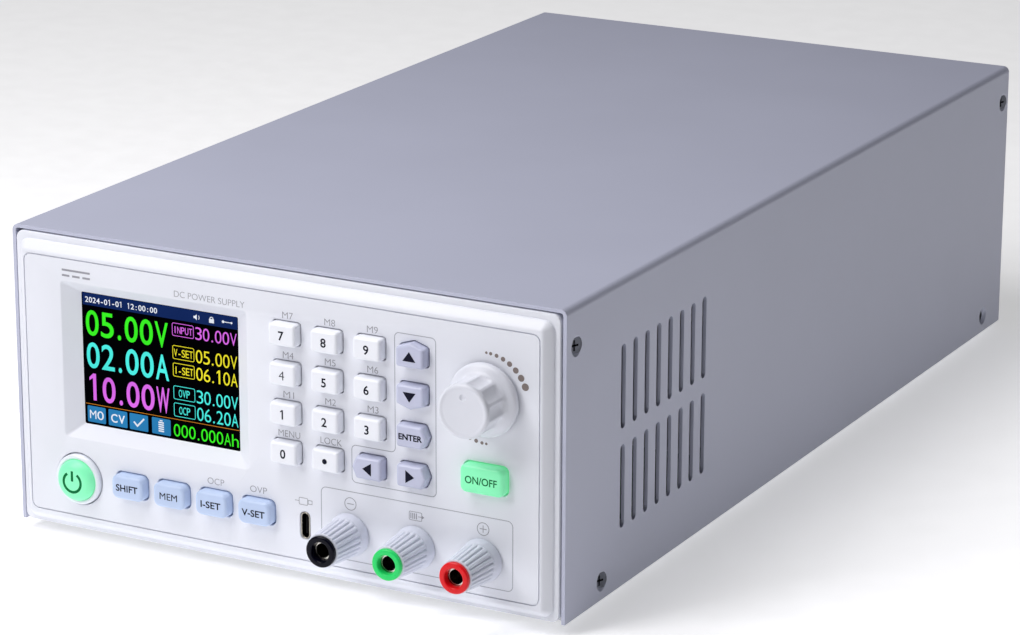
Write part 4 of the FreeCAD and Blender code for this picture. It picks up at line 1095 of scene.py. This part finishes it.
def draw_data_plug(bm, x, z):
    """Small plug outline above the data socket."""
    z += 6.7
    ribbon(bm, rounded(rectangle(2.6, 1.9, x - 0.4, z), 0.3), SIGN_LINE, FACE_OUT, closed=True)
    ribbon(bm, rectangle(1.2, 1.0, x + 1.65, z), SIGN_LINE, FACE_OUT, closed=True)
    ribbon(bm, [(x - 1.8, z), (x - 3.0, z)], SIGN_LINE, FACE_OUT)


def draw_minus(bm, x, z):
    """Bar in a circle."""
    ribbon(bm, disc(x, z, SIGN_RADIUS, 32), 0.18, FACE_OUT, closed=True)
    plate(bm, rectangle(*SIGN_BAR, x, z), FACE_OUT)


def draw_plus(bm, x, z):
    """Cross in a circle; its upright is a hair lower than its bar."""
    draw_minus(bm, x, z)
    plate(bm, rectangle(*SIGN_BAR[::-1], x, z), FACE_OUT, depth=INK * 0.9)


def draw_charge(bm, x, z):
    """Cell with bars and an arrow leaving it."""
    ribbon(bm, rounded(rectangle(3.7, 2.3, x - 0.2, z), 0.3), SIGN_LINE, FACE_OUT, closed=True)
    for index in range(4):
        plate(bm, rectangle(0.28, 1.6, x - 1.55 + 0.55 * index, z), FACE_OUT)
    ribbon(bm, [(x + 0.6, z), (x + 2.3, z)], SIGN_LINE, FACE_OUT, depth=INK * 0.9)
    plate(bm, [(x + 2.4, z), (x + 1.7, z + 0.5), (x + 1.7, z - 0.5)], FACE_OUT)


# ------------------------------------------------------------------- display
ACTIVE_W, ACTIVE_H = 48.96, 36.72
NARROW = {".": 0.22, ":": 0.24, "-": 0.55, "I": 0.2}
USUAL_WIDTH = 0.86
POINT_CELL = 0.6
TILE_OUT, FRAME_OUT, TEXT_OUT = GLASS_OUT + 0.02, GLASS_OUT + 0.04, GLASS_OUT + 0.05


class Screen:
    """Draws on the display by fractions across and down, one mesh per colour."""

    def __init__(self):
        self.x, self.z = middle("lcd_glass")
        self.layers = {}

    def layer(self, colour):
        if colour not in self.layers:
            self.layers[colour] = bmesh.new()
        return self.layers[colour]

    def place(self, u, v):
        return (self.x + (u - 0.5) * ACTIVE_W, self.z + (0.5 - v) * ACTIVE_H)

    def text(self, colour, words, left, right, top, bottom, weight=0.0):
        """Characters in equal cells, as a display draws them."""
        cell = (right - left) / (len(words) - (1 - POINT_CELL) * words.count("."))
        edge = left
        for sign in words:
            step = cell * POINT_CELL if sign == "." else cell
            x, z = self.place(edge + step / 2, (top + bottom) / 2)
            edge += step
            high = (bottom - top) * ACTIVE_H
            if sign == "1":
                numeral_one(self.layer(colour), x, z, cell * ACTIVE_W * 0.8, high,
                            high * 0.13, TEXT_OUT, FINE_INK)
            elif sign != " ":
                wide = NARROW.get(sign, USUAL_WIDTH) * cell * ACTIVE_W
                lettering(self.layer(colour), sign, x, z, high, TEXT_OUT,
                          width=wide, weight=weight, depth=FINE_INK)

    def area(self, left, right, top, bottom):
        x, z = self.place((left + right) / 2, (top + bottom) / 2)
        return rectangle((right - left) * ACTIVE_W, (bottom - top) * ACTIVE_H, x, z)

    def tile(self, colour, left, right, top, bottom, radius):
        shape = rounded(self.area(left, right, top, bottom), radius, 0.0, 3)
        plate(self.layer(colour), shape, TILE_OUT, FINE_INK)

    def frame(self, colour, left, right, top, bottom, width=0.16):
        shape = rounded(self.area(left, right, top, bottom), 0.5, width / 2, 4)
        ribbon(self.layer(colour), shape, width, FRAME_OUT, closed=True, depth=FINE_INK)


def build_display():
    """Readings, boxes, tiles and signs of the lit picture."""
    screen = Screen()
    screen.tile("lit_navy", 0.0, 1.0, 0.0, 0.092, 0.05)
    screen.text("lit_white", "2024-01-01 12:00:00", 0.015, 0.488, 0.026, 0.070, 0.012)
    rows = (("lit_green", "05.00V", 0.117, 0.320), ("lit_cyan", "02.00A", 0.363, 0.569),
            ("lit_magenta", "10.00W", 0.612, 0.818))
    for colour, words, top, bottom in rows:
        screen.text(colour, words, 0.010, 0.560, top, bottom, 0.010)
    boxes = (("lit_magenta", "INPUT", "30.00V", 0.117, 0.216),
             ("lit_yellow", "V-SET", "05.00V", 0.287, 0.391),
             ("lit_yellow", "I-SET", "06.10A", 0.420, 0.523),
             ("lit_cyan", "OVP", "30.00V", 0.593, 0.697),
             ("lit_cyan", "OCP", "06.20A", 0.723, 0.828))
    for colour, name, value, top, bottom in boxes:
        screen.text(colour, value, 0.726, 0.996, top, bottom, -0.006)
        screen.frame(colour, 0.580, 0.719, top, bottom)
        half, centre = 0.0124 * len(name), 0.6495
        screen.text(colour, name, centre - half, centre + half, top + 0.022, bottom - 0.022)
    screen.tile("lit_orange", 0.0, 1.0, 0.848, 0.852, 0.02)
    tiles = ((0.011, 0.130), (0.149, 0.272), (0.288, 0.408), (0.434, 0.555))
    for left, right in tiles:
        screen.tile("lit_blue", left, right, 0.865, 0.989, 0.3)
    screen.text("lit_white", "M0", 0.022, 0.120, 0.893, 0.962)
    screen.text("lit_white", "CV", 0.162, 0.260, 0.893, 0.962, 0.015)
    draw_icons(screen)
    screen.text("lit_green", "000.000Ah", 0.572, 0.996, 0.880, 0.980, -0.004)
    for colour, bm in screen.layers.items():
        mesh = finish_mesh(bm, colour)
        obj = add_object("picture_" + colour, mesh, [colour])
        declare(obj, "case", "display_glass")


def draw_icons(screen):
    """Tick, cell, loudspeaker, padlock and link."""
    white = screen.layer("lit_white")
    x, z = screen.place(0.348, 0.927)
    ribbon(white, [(x - 1.6, z), (x - 0.5, z - 1.1), (x + 1.7, z + 1.2)], 0.45, TEXT_OUT,
           depth=FINE_INK)
    x, z = screen.place(0.494, 0.930)
    for index in range(5):
        plate(white, rectangle(1.7, 0.38, x, z - 1.2 + 0.6 * index), TEXT_OUT, FINE_INK)
    plate(white, rectangle(0.9, 0.3, x, z + 1.75), TEXT_OUT, FINE_INK)
    x, z = screen.place(0.735, 0.048)
    plate(white, [(x - 0.7, z - 0.3), (x - 0.3, z - 0.3), (x + 0.3, z - 0.8),
                  (x + 0.3, z + 0.8), (x - 0.3, z + 0.3), (x - 0.7, z + 0.3)], TEXT_OUT, FINE_INK)
    ribbon(white, bend(x + 0.3, z, 0.75, -45, 45), 0.16, TEXT_OUT, depth=FINE_INK)
    x, z = screen.place(0.835, 0.048)
    plate(white, rectangle(1.5, 1.1, x, z - 0.35), TEXT_OUT, FINE_INK)
    ribbon(white, bend(x, z + 0.2, 0.5, 0, 180), 0.22, TEXT_OUT, depth=FINE_INK)
    x, z = screen.place(0.935, 0.048)
    ribbon(white, [(x - 1.3, z), (x + 1.3, z)], 0.2, TEXT_OUT, depth=FINE_INK)
    plate(white, disc(x - 1.3, z, 0.38, 12), TEXT_OUT, 0.018)
    plate(white, disc(x + 1.3, z, 0.3, 12), TEXT_OUT, 0.018)


# ------------------------------------------------------- geometry-node pieces
def new_tree(name, *numbers):
    """Tree with a named input for each size."""
    tree = bpy.data.node_groups.new(name, "GeometryNodeTree")
    tree.interface.new_socket("Geometry", in_out="INPUT", socket_type="NodeSocketGeometry")
    for label, value in numbers:
        socket = tree.interface.new_socket(label, in_out="INPUT", socket_type="NodeSocketFloat")
        socket.default_value = value
    tree.interface.new_socket("Geometry", in_out="OUTPUT", socket_type="NodeSocketGeometry")
    entry = tree.nodes.new("NodeGroupInput")
    leave = tree.nodes.new("NodeGroupOutput")
    return tree, entry, leave


def add_node(tree, kind, **values):
    """Node with its properties set."""
    node = tree.nodes.new(kind)
    for key, value in values.items():
        setattr(node, key, value)
    return node


def run_tree(name, tree, places, values, finish_name):
    """Evaluate a tree over a cloud of points and keep the plain mesh."""
    cloud = bpy.data.meshes.new(name)
    cloud.from_pydata([place for place, _ in places], [], [])
    turn = cloud.attributes.new("turn", "FLOAT_VECTOR", "POINT")
    for index, (_, angles) in enumerate(places):
        turn.data[index].vector = angles
    carrier = bpy.data.objects.new(name, cloud)
    bpy.context.scene.collection.objects.link(carrier)
    modifier = carrier.modifiers.new("build", "NODES")
    modifier.node_group = tree
    for item in tree.interface.items_tree:
        if item.in_out == "INPUT" and item.name in values:
            modifier[item.identifier] = values[item.name]
    graph = bpy.context.evaluated_depsgraph_get()
    mesh = bpy.data.meshes.new_from_object(carrier.evaluated_get(graph))
    bpy.data.objects.remove(carrier)
    smooth(mesh)
    return add_object(name, mesh, [finish_name])


def place_copies(tree, entry, leave, shape, finish_name, sized=False):
    """Copy a shape to every point, turned or sized as the point says, then make it real."""
    told = add_node(tree, "GeometryNodeInputNamedAttribute", data_type="FLOAT_VECTOR")
    told.inputs["Name"].default_value = "turn"
    copies = add_node(tree, "GeometryNodeInstanceOnPoints")
    real = add_node(tree, "GeometryNodeRealizeInstances")
    coat = add_node(tree, "GeometryNodeSetMaterial")
    coat.inputs["Material"].default_value = material(finish_name)
    link = tree.links.new
    link(entry.outputs["Geometry"], copies.inputs["Points"])
    link(shape, copies.inputs["Instance"])
    if sized:
        copies.inputs["Rotation"].default_value = (math.pi / 2, 0.0, 0.0)
        link(told.outputs["Attribute"], copies.inputs["Scale"])
    else:
        spin = add_node(tree, "FunctionNodeEulerToRotation")
        link(told.outputs["Attribute"], spin.inputs[0])
        link(spin.outputs[0], copies.inputs["Rotation"])
    link(copies.outputs["Instances"], real.inputs["Geometry"])
    link(real.outputs["Geometry"], coat.inputs["Geometry"])
    link(coat.outputs["Geometry"], leave.inputs["Geometry"])


HEAD_HIGH = 0.001
SHANK_DROP = 0.0036
RECESS_BAR = (0.0029, 0.00056, 0.0018)


def screw_tree():
    """Countersunk cross-recess screw, head face at the point, shank along -Z."""
    tree, entry, leave = new_tree("countersunk screw", ("Head radius", 0.0027),
                                  ("Shank radius", 0.00145), ("Length", 0.005))
    link = tree.links.new
    head = add_node(tree, "GeometryNodeMeshCone")
    head.inputs["Vertices"].default_value = 48
    head.inputs["Depth"].default_value = HEAD_HIGH
    link(entry.outputs["Shank radius"], head.inputs["Radius Top"])
    link(entry.outputs["Head radius"], head.inputs["Radius Bottom"])
    flip = add_node(tree, "GeometryNodeTransform")
    flip.inputs["Rotation"].default_value = (math.pi, 0.0, 0.0)
    link(head.outputs["Mesh"], flip.inputs["Geometry"])
    shank = add_node(tree, "GeometryNodeMeshCylinder")
    shank.inputs["Vertices"].default_value = 32
    link(entry.outputs["Shank radius"], shank.inputs["Radius"])
    link(entry.outputs["Length"], shank.inputs["Depth"])
    drop = add_node(tree, "GeometryNodeTransform")
    drop.inputs["Translation"].default_value = (0.0, 0.0, -SHANK_DROP)
    link(shank.outputs["Mesh"], drop.inputs["Geometry"])
    cut = add_node(tree, "GeometryNodeMeshBoolean", operation="DIFFERENCE")
    join = add_node(tree, "GeometryNodeMeshBoolean", operation="UNION")
    link(flip.outputs["Geometry"], join.inputs[1])
    link(drop.outputs["Geometry"], join.inputs[1])
    for angle in (0.0, math.pi / 2):
        bar = add_node(tree, "GeometryNodeMeshCube")
        bar.inputs["Size"].default_value = RECESS_BAR
        seat = add_node(tree, "GeometryNodeTransform")
        seat.inputs["Rotation"].default_value = (0.0, 0.0, angle)
        link(bar.outputs["Mesh"], seat.inputs["Geometry"])
        link(seat.outputs["Geometry"], cut.inputs[1])
    link(join.outputs["Mesh"], cut.inputs[0])
    place_copies(tree, entry, leave, cut.outputs["Mesh"], "dark_nickel")
    return tree


SCREW_PLACES = ((5.4, 73.2), (20.6, 5.2), (299.5, 73.2))    # in from the front, and up


def build_screws(settings):
    """The cover's screws, one on each side at three places."""
    low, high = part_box("cover_screws")
    sideways = (high.x - low.x) / 2 - 0.00065
    head = 2.7 * MM
    places = []
    for inward, up in SCREW_PLACES:
        y, z = FRONT + inward * MM, BASE + up * MM
        for side in (-1, 1):
            places.append((Vector((side * sideways, y, z)), (0.35, side * math.pi / 2, 0.0)))
    obj = run_tree("cover_screw_set", screw_tree(), places,
                   {"Head radius": head, "Length": settings.length}, "dark_nickel")
    declare(obj, "case", "screw_metal", "cover_screws")


DOT_HIGH = 0.00006


def dot_tree():
    """Flat printed dot; its size comes from the point."""
    tree, entry, leave = new_tree("printed dot", ("Height", DOT_HIGH))
    dot = add_node(tree, "GeometryNodeMeshCylinder")
    dot.inputs["Vertices"].default_value = 28
    dot.inputs["Radius"].default_value = 1.0
    tree.links.new(entry.outputs["Height"], dot.inputs["Depth"])
    place_copies(tree, entry, leave, dot.outputs["Mesh"], "dot_ink", sized=True)
    return tree


def build_dots(settings):
    """Two fans of growing dots round the knob, half a turn apart."""
    x, z = middle("tuning_knob")
    reach = settings.dot_circle / MM
    places = []
    for index in range(8):
        part = index / 7
        radius = (0.35 + 0.65 * part) * MM
        angle = math.radians(90 - 67 * part ** 1.25)
        for flip in (1, -1):
            place = spot(x + flip * reach * math.cos(angle), FACE_OUT,
                         z + flip * reach * math.sin(angle))
            places.append((place, (radius, radius, 1.0)))
    obj = run_tree("knob_dots", dot_tree(), places, {"Height": DOT_HIGH}, "dot_ink")
    declare(obj, "case", "screw_metal")


# ----------------------------------------------------------------------- stage
FLOOR_SIZE = 8.0
AIM = Vector((0.0, 0.0, 0.04))
LAMP_TINT = (1.0, 0.99, 1.0)
SKY_TINT = (0.97, 0.97, 1.0, 1.0)


def build_stage(settings):
    """Floor, surrounding light, three lamps and the camera."""
    scene = bpy.context.scene
    scene.view_settings.view_transform = "Standard"
    floor_mesh = bpy.data.meshes.new("floor")
    corners = [(x, z, 0.0) for x, z in rectangle(FLOOR_SIZE, FLOOR_SIZE)]
    floor_mesh.from_pydata(corners, [], [(0, 1, 2, 3)])
    floor = add_object("floor", floor_mesh, ["floor_paper"])
    world = bpy.data.worlds.new("studio")
    world.use_nodes = True
    background = world.node_tree.nodes["Background"]
    background.inputs["Color"].default_value = SKY_TINT
    background.inputs["Strength"].default_value = settings.fill
    scene.world = world
    lamps = (("key_light", (-0.6, -1.0, 0.8), 0.45, settings.key),
             ("near_light", (-0.15, -0.28, 0.65), 0.4, settings.near),
             ("top_light", (-0.5, 0.5, 1.8), 1.2, settings.top))
    for name, place, width, power in lamps:
        lamp = bpy.data.lights.new(name, "AREA")
        lamp.shape = "SQUARE"
        lamp.size = width
        lamp.energy = power
        lamp.color = LAMP_TINT
        obj = bpy.data.objects.new(name, lamp)
        obj.location = place
        obj.rotation_euler = (AIM - Vector(place)).to_track_quat("-Z", "Y").to_euler()
        scene.collection.objects.link(obj)
    camera_data = bpy.data.cameras.new("camera")
    camera_data.sensor_width = 36.0
    camera_data.lens = settings.lens
    camera = bpy.data.objects.new("camera", camera_data)
    camera.location = spot(*settings.eye)
    facing = Vector(settings.gaze).to_track_quat("-Z", "Y").to_matrix()
    roll = Matrix.Rotation(settings.roll, 3, "Z")
    camera.rotation_euler = (facing @ roll).to_euler()
    scene.collection.objects.link(camera)
    scene.camera = camera


# ---------------------------------------------------------------- the add-on
def size_of(name, description, default):
    """Length that a user can change, in metres."""
    return FloatProperty(name=name, description=description, default=default,
                         subtype="DISTANCE", unit="LENGTH")


class BezelSettings(bpy.types.PropertyGroup):
    bevel: size_of("Face bevel", "Width of the bevel round the face", 0.002)
    line_width: size_of("Printed line", "Width of the printed outlines", 0.0002)


class KeySettings(bpy.types.PropertyGroup):
    round_edge: size_of("Edge radius", "Rounding of a key cap's edge", 0.0008)
    digit_height: size_of("Digit height", "Height of the key numbers", 0.00257)


class KnobSettings(bpy.types.PropertyGroup):
    grip_radius: size_of("Grip radius", "Radius of the knob's grip", 0.0072)
    flutes: IntProperty(name="Flutes", description="Wide hollows round the grip", default=10)
    flute_depth: size_of("Flute depth", "Depth of each hollow", 0.00055)
    scoop_radius: size_of("Scoop radius", "Radius of each hollow", 0.006)
    dot_circle: size_of("Dot circle", "Radius of the arc of dots", 0.0121)


class PostSettings(bpy.types.PropertyGroup):
    ribs: IntProperty(name="Ribs", description="Grooves round each post cap", default=22)
    rib_depth: size_of("Groove depth", "Depth of each groove", 0.00042)


class ScrewSettings(bpy.types.PropertyGroup):
    length: size_of("Shank", "Length of a cover screw's shank", 0.005)


class StageSettings(bpy.types.PropertyGroup):
    eye: FloatVectorProperty(name="Eye", description="Camera place: x, out, z in case millimetres",
                             default=(490.4, 785.5, 352.1))
    gaze: FloatVectorProperty(name="Gaze", description="Direction the camera looks",
                              default=(-0.453, 0.8423, -0.292))
    roll: FloatProperty(name="Roll", description="Camera roll", default=0.0026,
                        subtype="ANGLE", unit="ROTATION")
    lens: FloatProperty(name="Lens", description="Focal length in millimetres", default=131.34)
    key: FloatProperty(name="Key light", description="Power of the front light", default=5.8)
    top: FloatProperty(name="Top light", description="Power of the overhead light", default=2.0)
    near: FloatProperty(name="Near light", description="Power of the light over the front",
                        default=3.2)
    fill: FloatProperty(name="Fill", description="Strength of the surrounding light",
                        default=0.06)


SETTINGS = {"psu_bezel": BezelSettings, "psu_keys": KeySettings, "psu_knob": KnobSettings,
            "psu_posts": PostSettings, "psu_screws": ScrewSettings, "psu_stage": StageSettings}


class PSU_OT_nodes(bpy.types.Operator):
    """Give the carried-over parts their finishes"""
    bl_idname = "psu.nodes"
    bl_label = "Finish carried-over parts"

    def execute(self, context):
        dress_nodes()
        return {"FINISHED"}


class PSU_OT_bezel(bpy.types.Operator):
    """Build the moulded front bezel"""
    bl_idname = "psu.bezel"
    bl_label = "Front bezel"

    def execute(self, context):
        build_bezel(context.scene.psu_bezel)
        return {"FINISHED"}


class PSU_OT_number_keys(bpy.types.Operator):
    """Build the number keys with their digits"""
    bl_idname = "psu.number_keys"
    bl_label = "Number keys"

    def execute(self, context):
        build_number_keys(context.scene.psu_keys)
        return {"FINISHED"}


class PSU_OT_arrow_keys(bpy.types.Operator):
    """Build the pointed arrow and enter keys"""
    bl_idname = "psu.arrow_keys"
    bl_label = "Arrow keys"

    def execute(self, context):
        build_arrow_keys(context.scene.psu_keys)
        return {"FINISHED"}


class PSU_OT_function_keys(bpy.types.Operator):
    """Build the lit function keys and the output key"""
    bl_idname = "psu.function_keys"
    bl_label = "Lit keys"

    def execute(self, context):
        build_function_keys(context.scene.psu_keys)
        return {"FINISHED"}


class PSU_OT_power_button(bpy.types.Operator):
    """Build the round lit power button"""
    bl_idname = "psu.power_button"
    bl_label = "Power button"

    def execute(self, context):
        build_power_button()
        return {"FINISHED"}


class PSU_OT_knob(bpy.types.Operator):
    """Build the rotary knob and the dots round it"""
    bl_idname = "psu.knob"
    bl_label = "Knob"

    def execute(self, context):
        build_knob(context.scene.psu_knob)
        build_dots(context.scene.psu_knob)
        return {"FINISHED"}


class PSU_OT_posts(bpy.types.Operator):
    """Build the binding posts' caps, rings and collars"""
    bl_idname = "psu.posts"
    bl_label = "Binding posts"

    def execute(self, context):
        build_posts(context.scene.psu_posts)
        return {"FINISHED"}


class PSU_OT_socket(bpy.types.Operator):
    """Build the data socket"""
    bl_idname = "psu.socket"
    bl_label = "Data socket"

    def execute(self, context):
        build_socket()
        return {"FINISHED"}


class PSU_OT_legends(bpy.types.Operator):
    """Print the panel's legends and outlines"""
    bl_idname = "psu.legends"
    bl_label = "Panel legends"

    def execute(self, context):
        build_legends(context.scene.psu_bezel)
        return {"FINISHED"}


class PSU_OT_display(bpy.types.Operator):
    """Draw the lit picture on the display"""
    bl_idname = "psu.display"
    bl_label = "Display picture"

    def execute(self, context):
        build_display()
        return {"FINISHED"}


class PSU_OT_screws(bpy.types.Operator):
    """Build the cover screws"""
    bl_idname = "psu.screws"
    bl_label = "Cover screws"

    def execute(self, context):
        build_screws(context.scene.psu_screws)
        return {"FINISHED"}


class PSU_OT_stage(bpy.types.Operator):
    """Set up the floor, the lights and the camera"""
    bl_idname = "psu.stage"
    bl_label = "Stage"

    def execute(self, context):
        build_stage(context.scene.psu_stage)
        return {"FINISHED"}


OPERATORS = (PSU_OT_nodes, PSU_OT_bezel, PSU_OT_number_keys, PSU_OT_arrow_keys,
             PSU_OT_function_keys, PSU_OT_power_button, PSU_OT_knob, PSU_OT_posts,
             PSU_OT_socket, PSU_OT_legends, PSU_OT_display, PSU_OT_screws, PSU_OT_stage)


class PSU_PT_panel(bpy.types.Panel):
    """Lists the settings and the builders"""
    bl_idname = "PSU_PT_panel"
    bl_label = "Power supply"
    bl_space_type = "VIEW_3D"
    bl_region_type = "UI"
    bl_category = "Power supply"

    def draw(self, context):
        for name, group in SETTINGS.items():
            column = self.layout.column()
            values = getattr(context.scene, name)
            for prop in group.__annotations__:
                column.prop(values, prop)
        for operator in OPERATORS:
            self.layout.operator(operator.bl_idname)


CLASSES = tuple(SETTINGS.values()) + OPERATORS + (PSU_PT_panel,)


def register():
    for item in CLASSES:
        bpy.utils.register_class(item)
    for name, group in SETTINGS.items():
        setattr(bpy.types.Scene, name, PointerProperty(type=group))


def unregister():
    for name in SETTINGS:
        delattr(bpy.types.Scene, name)
    for item in reversed(CLASSES):
        bpy.utils.unregister_class(item)


def main():
    register()
    for operator in OPERATORS:
        family, action = operator.bl_idname.split(".")
        getattr(getattr(bpy.ops, family), action)()


if __name__ == "__main__":
    main()
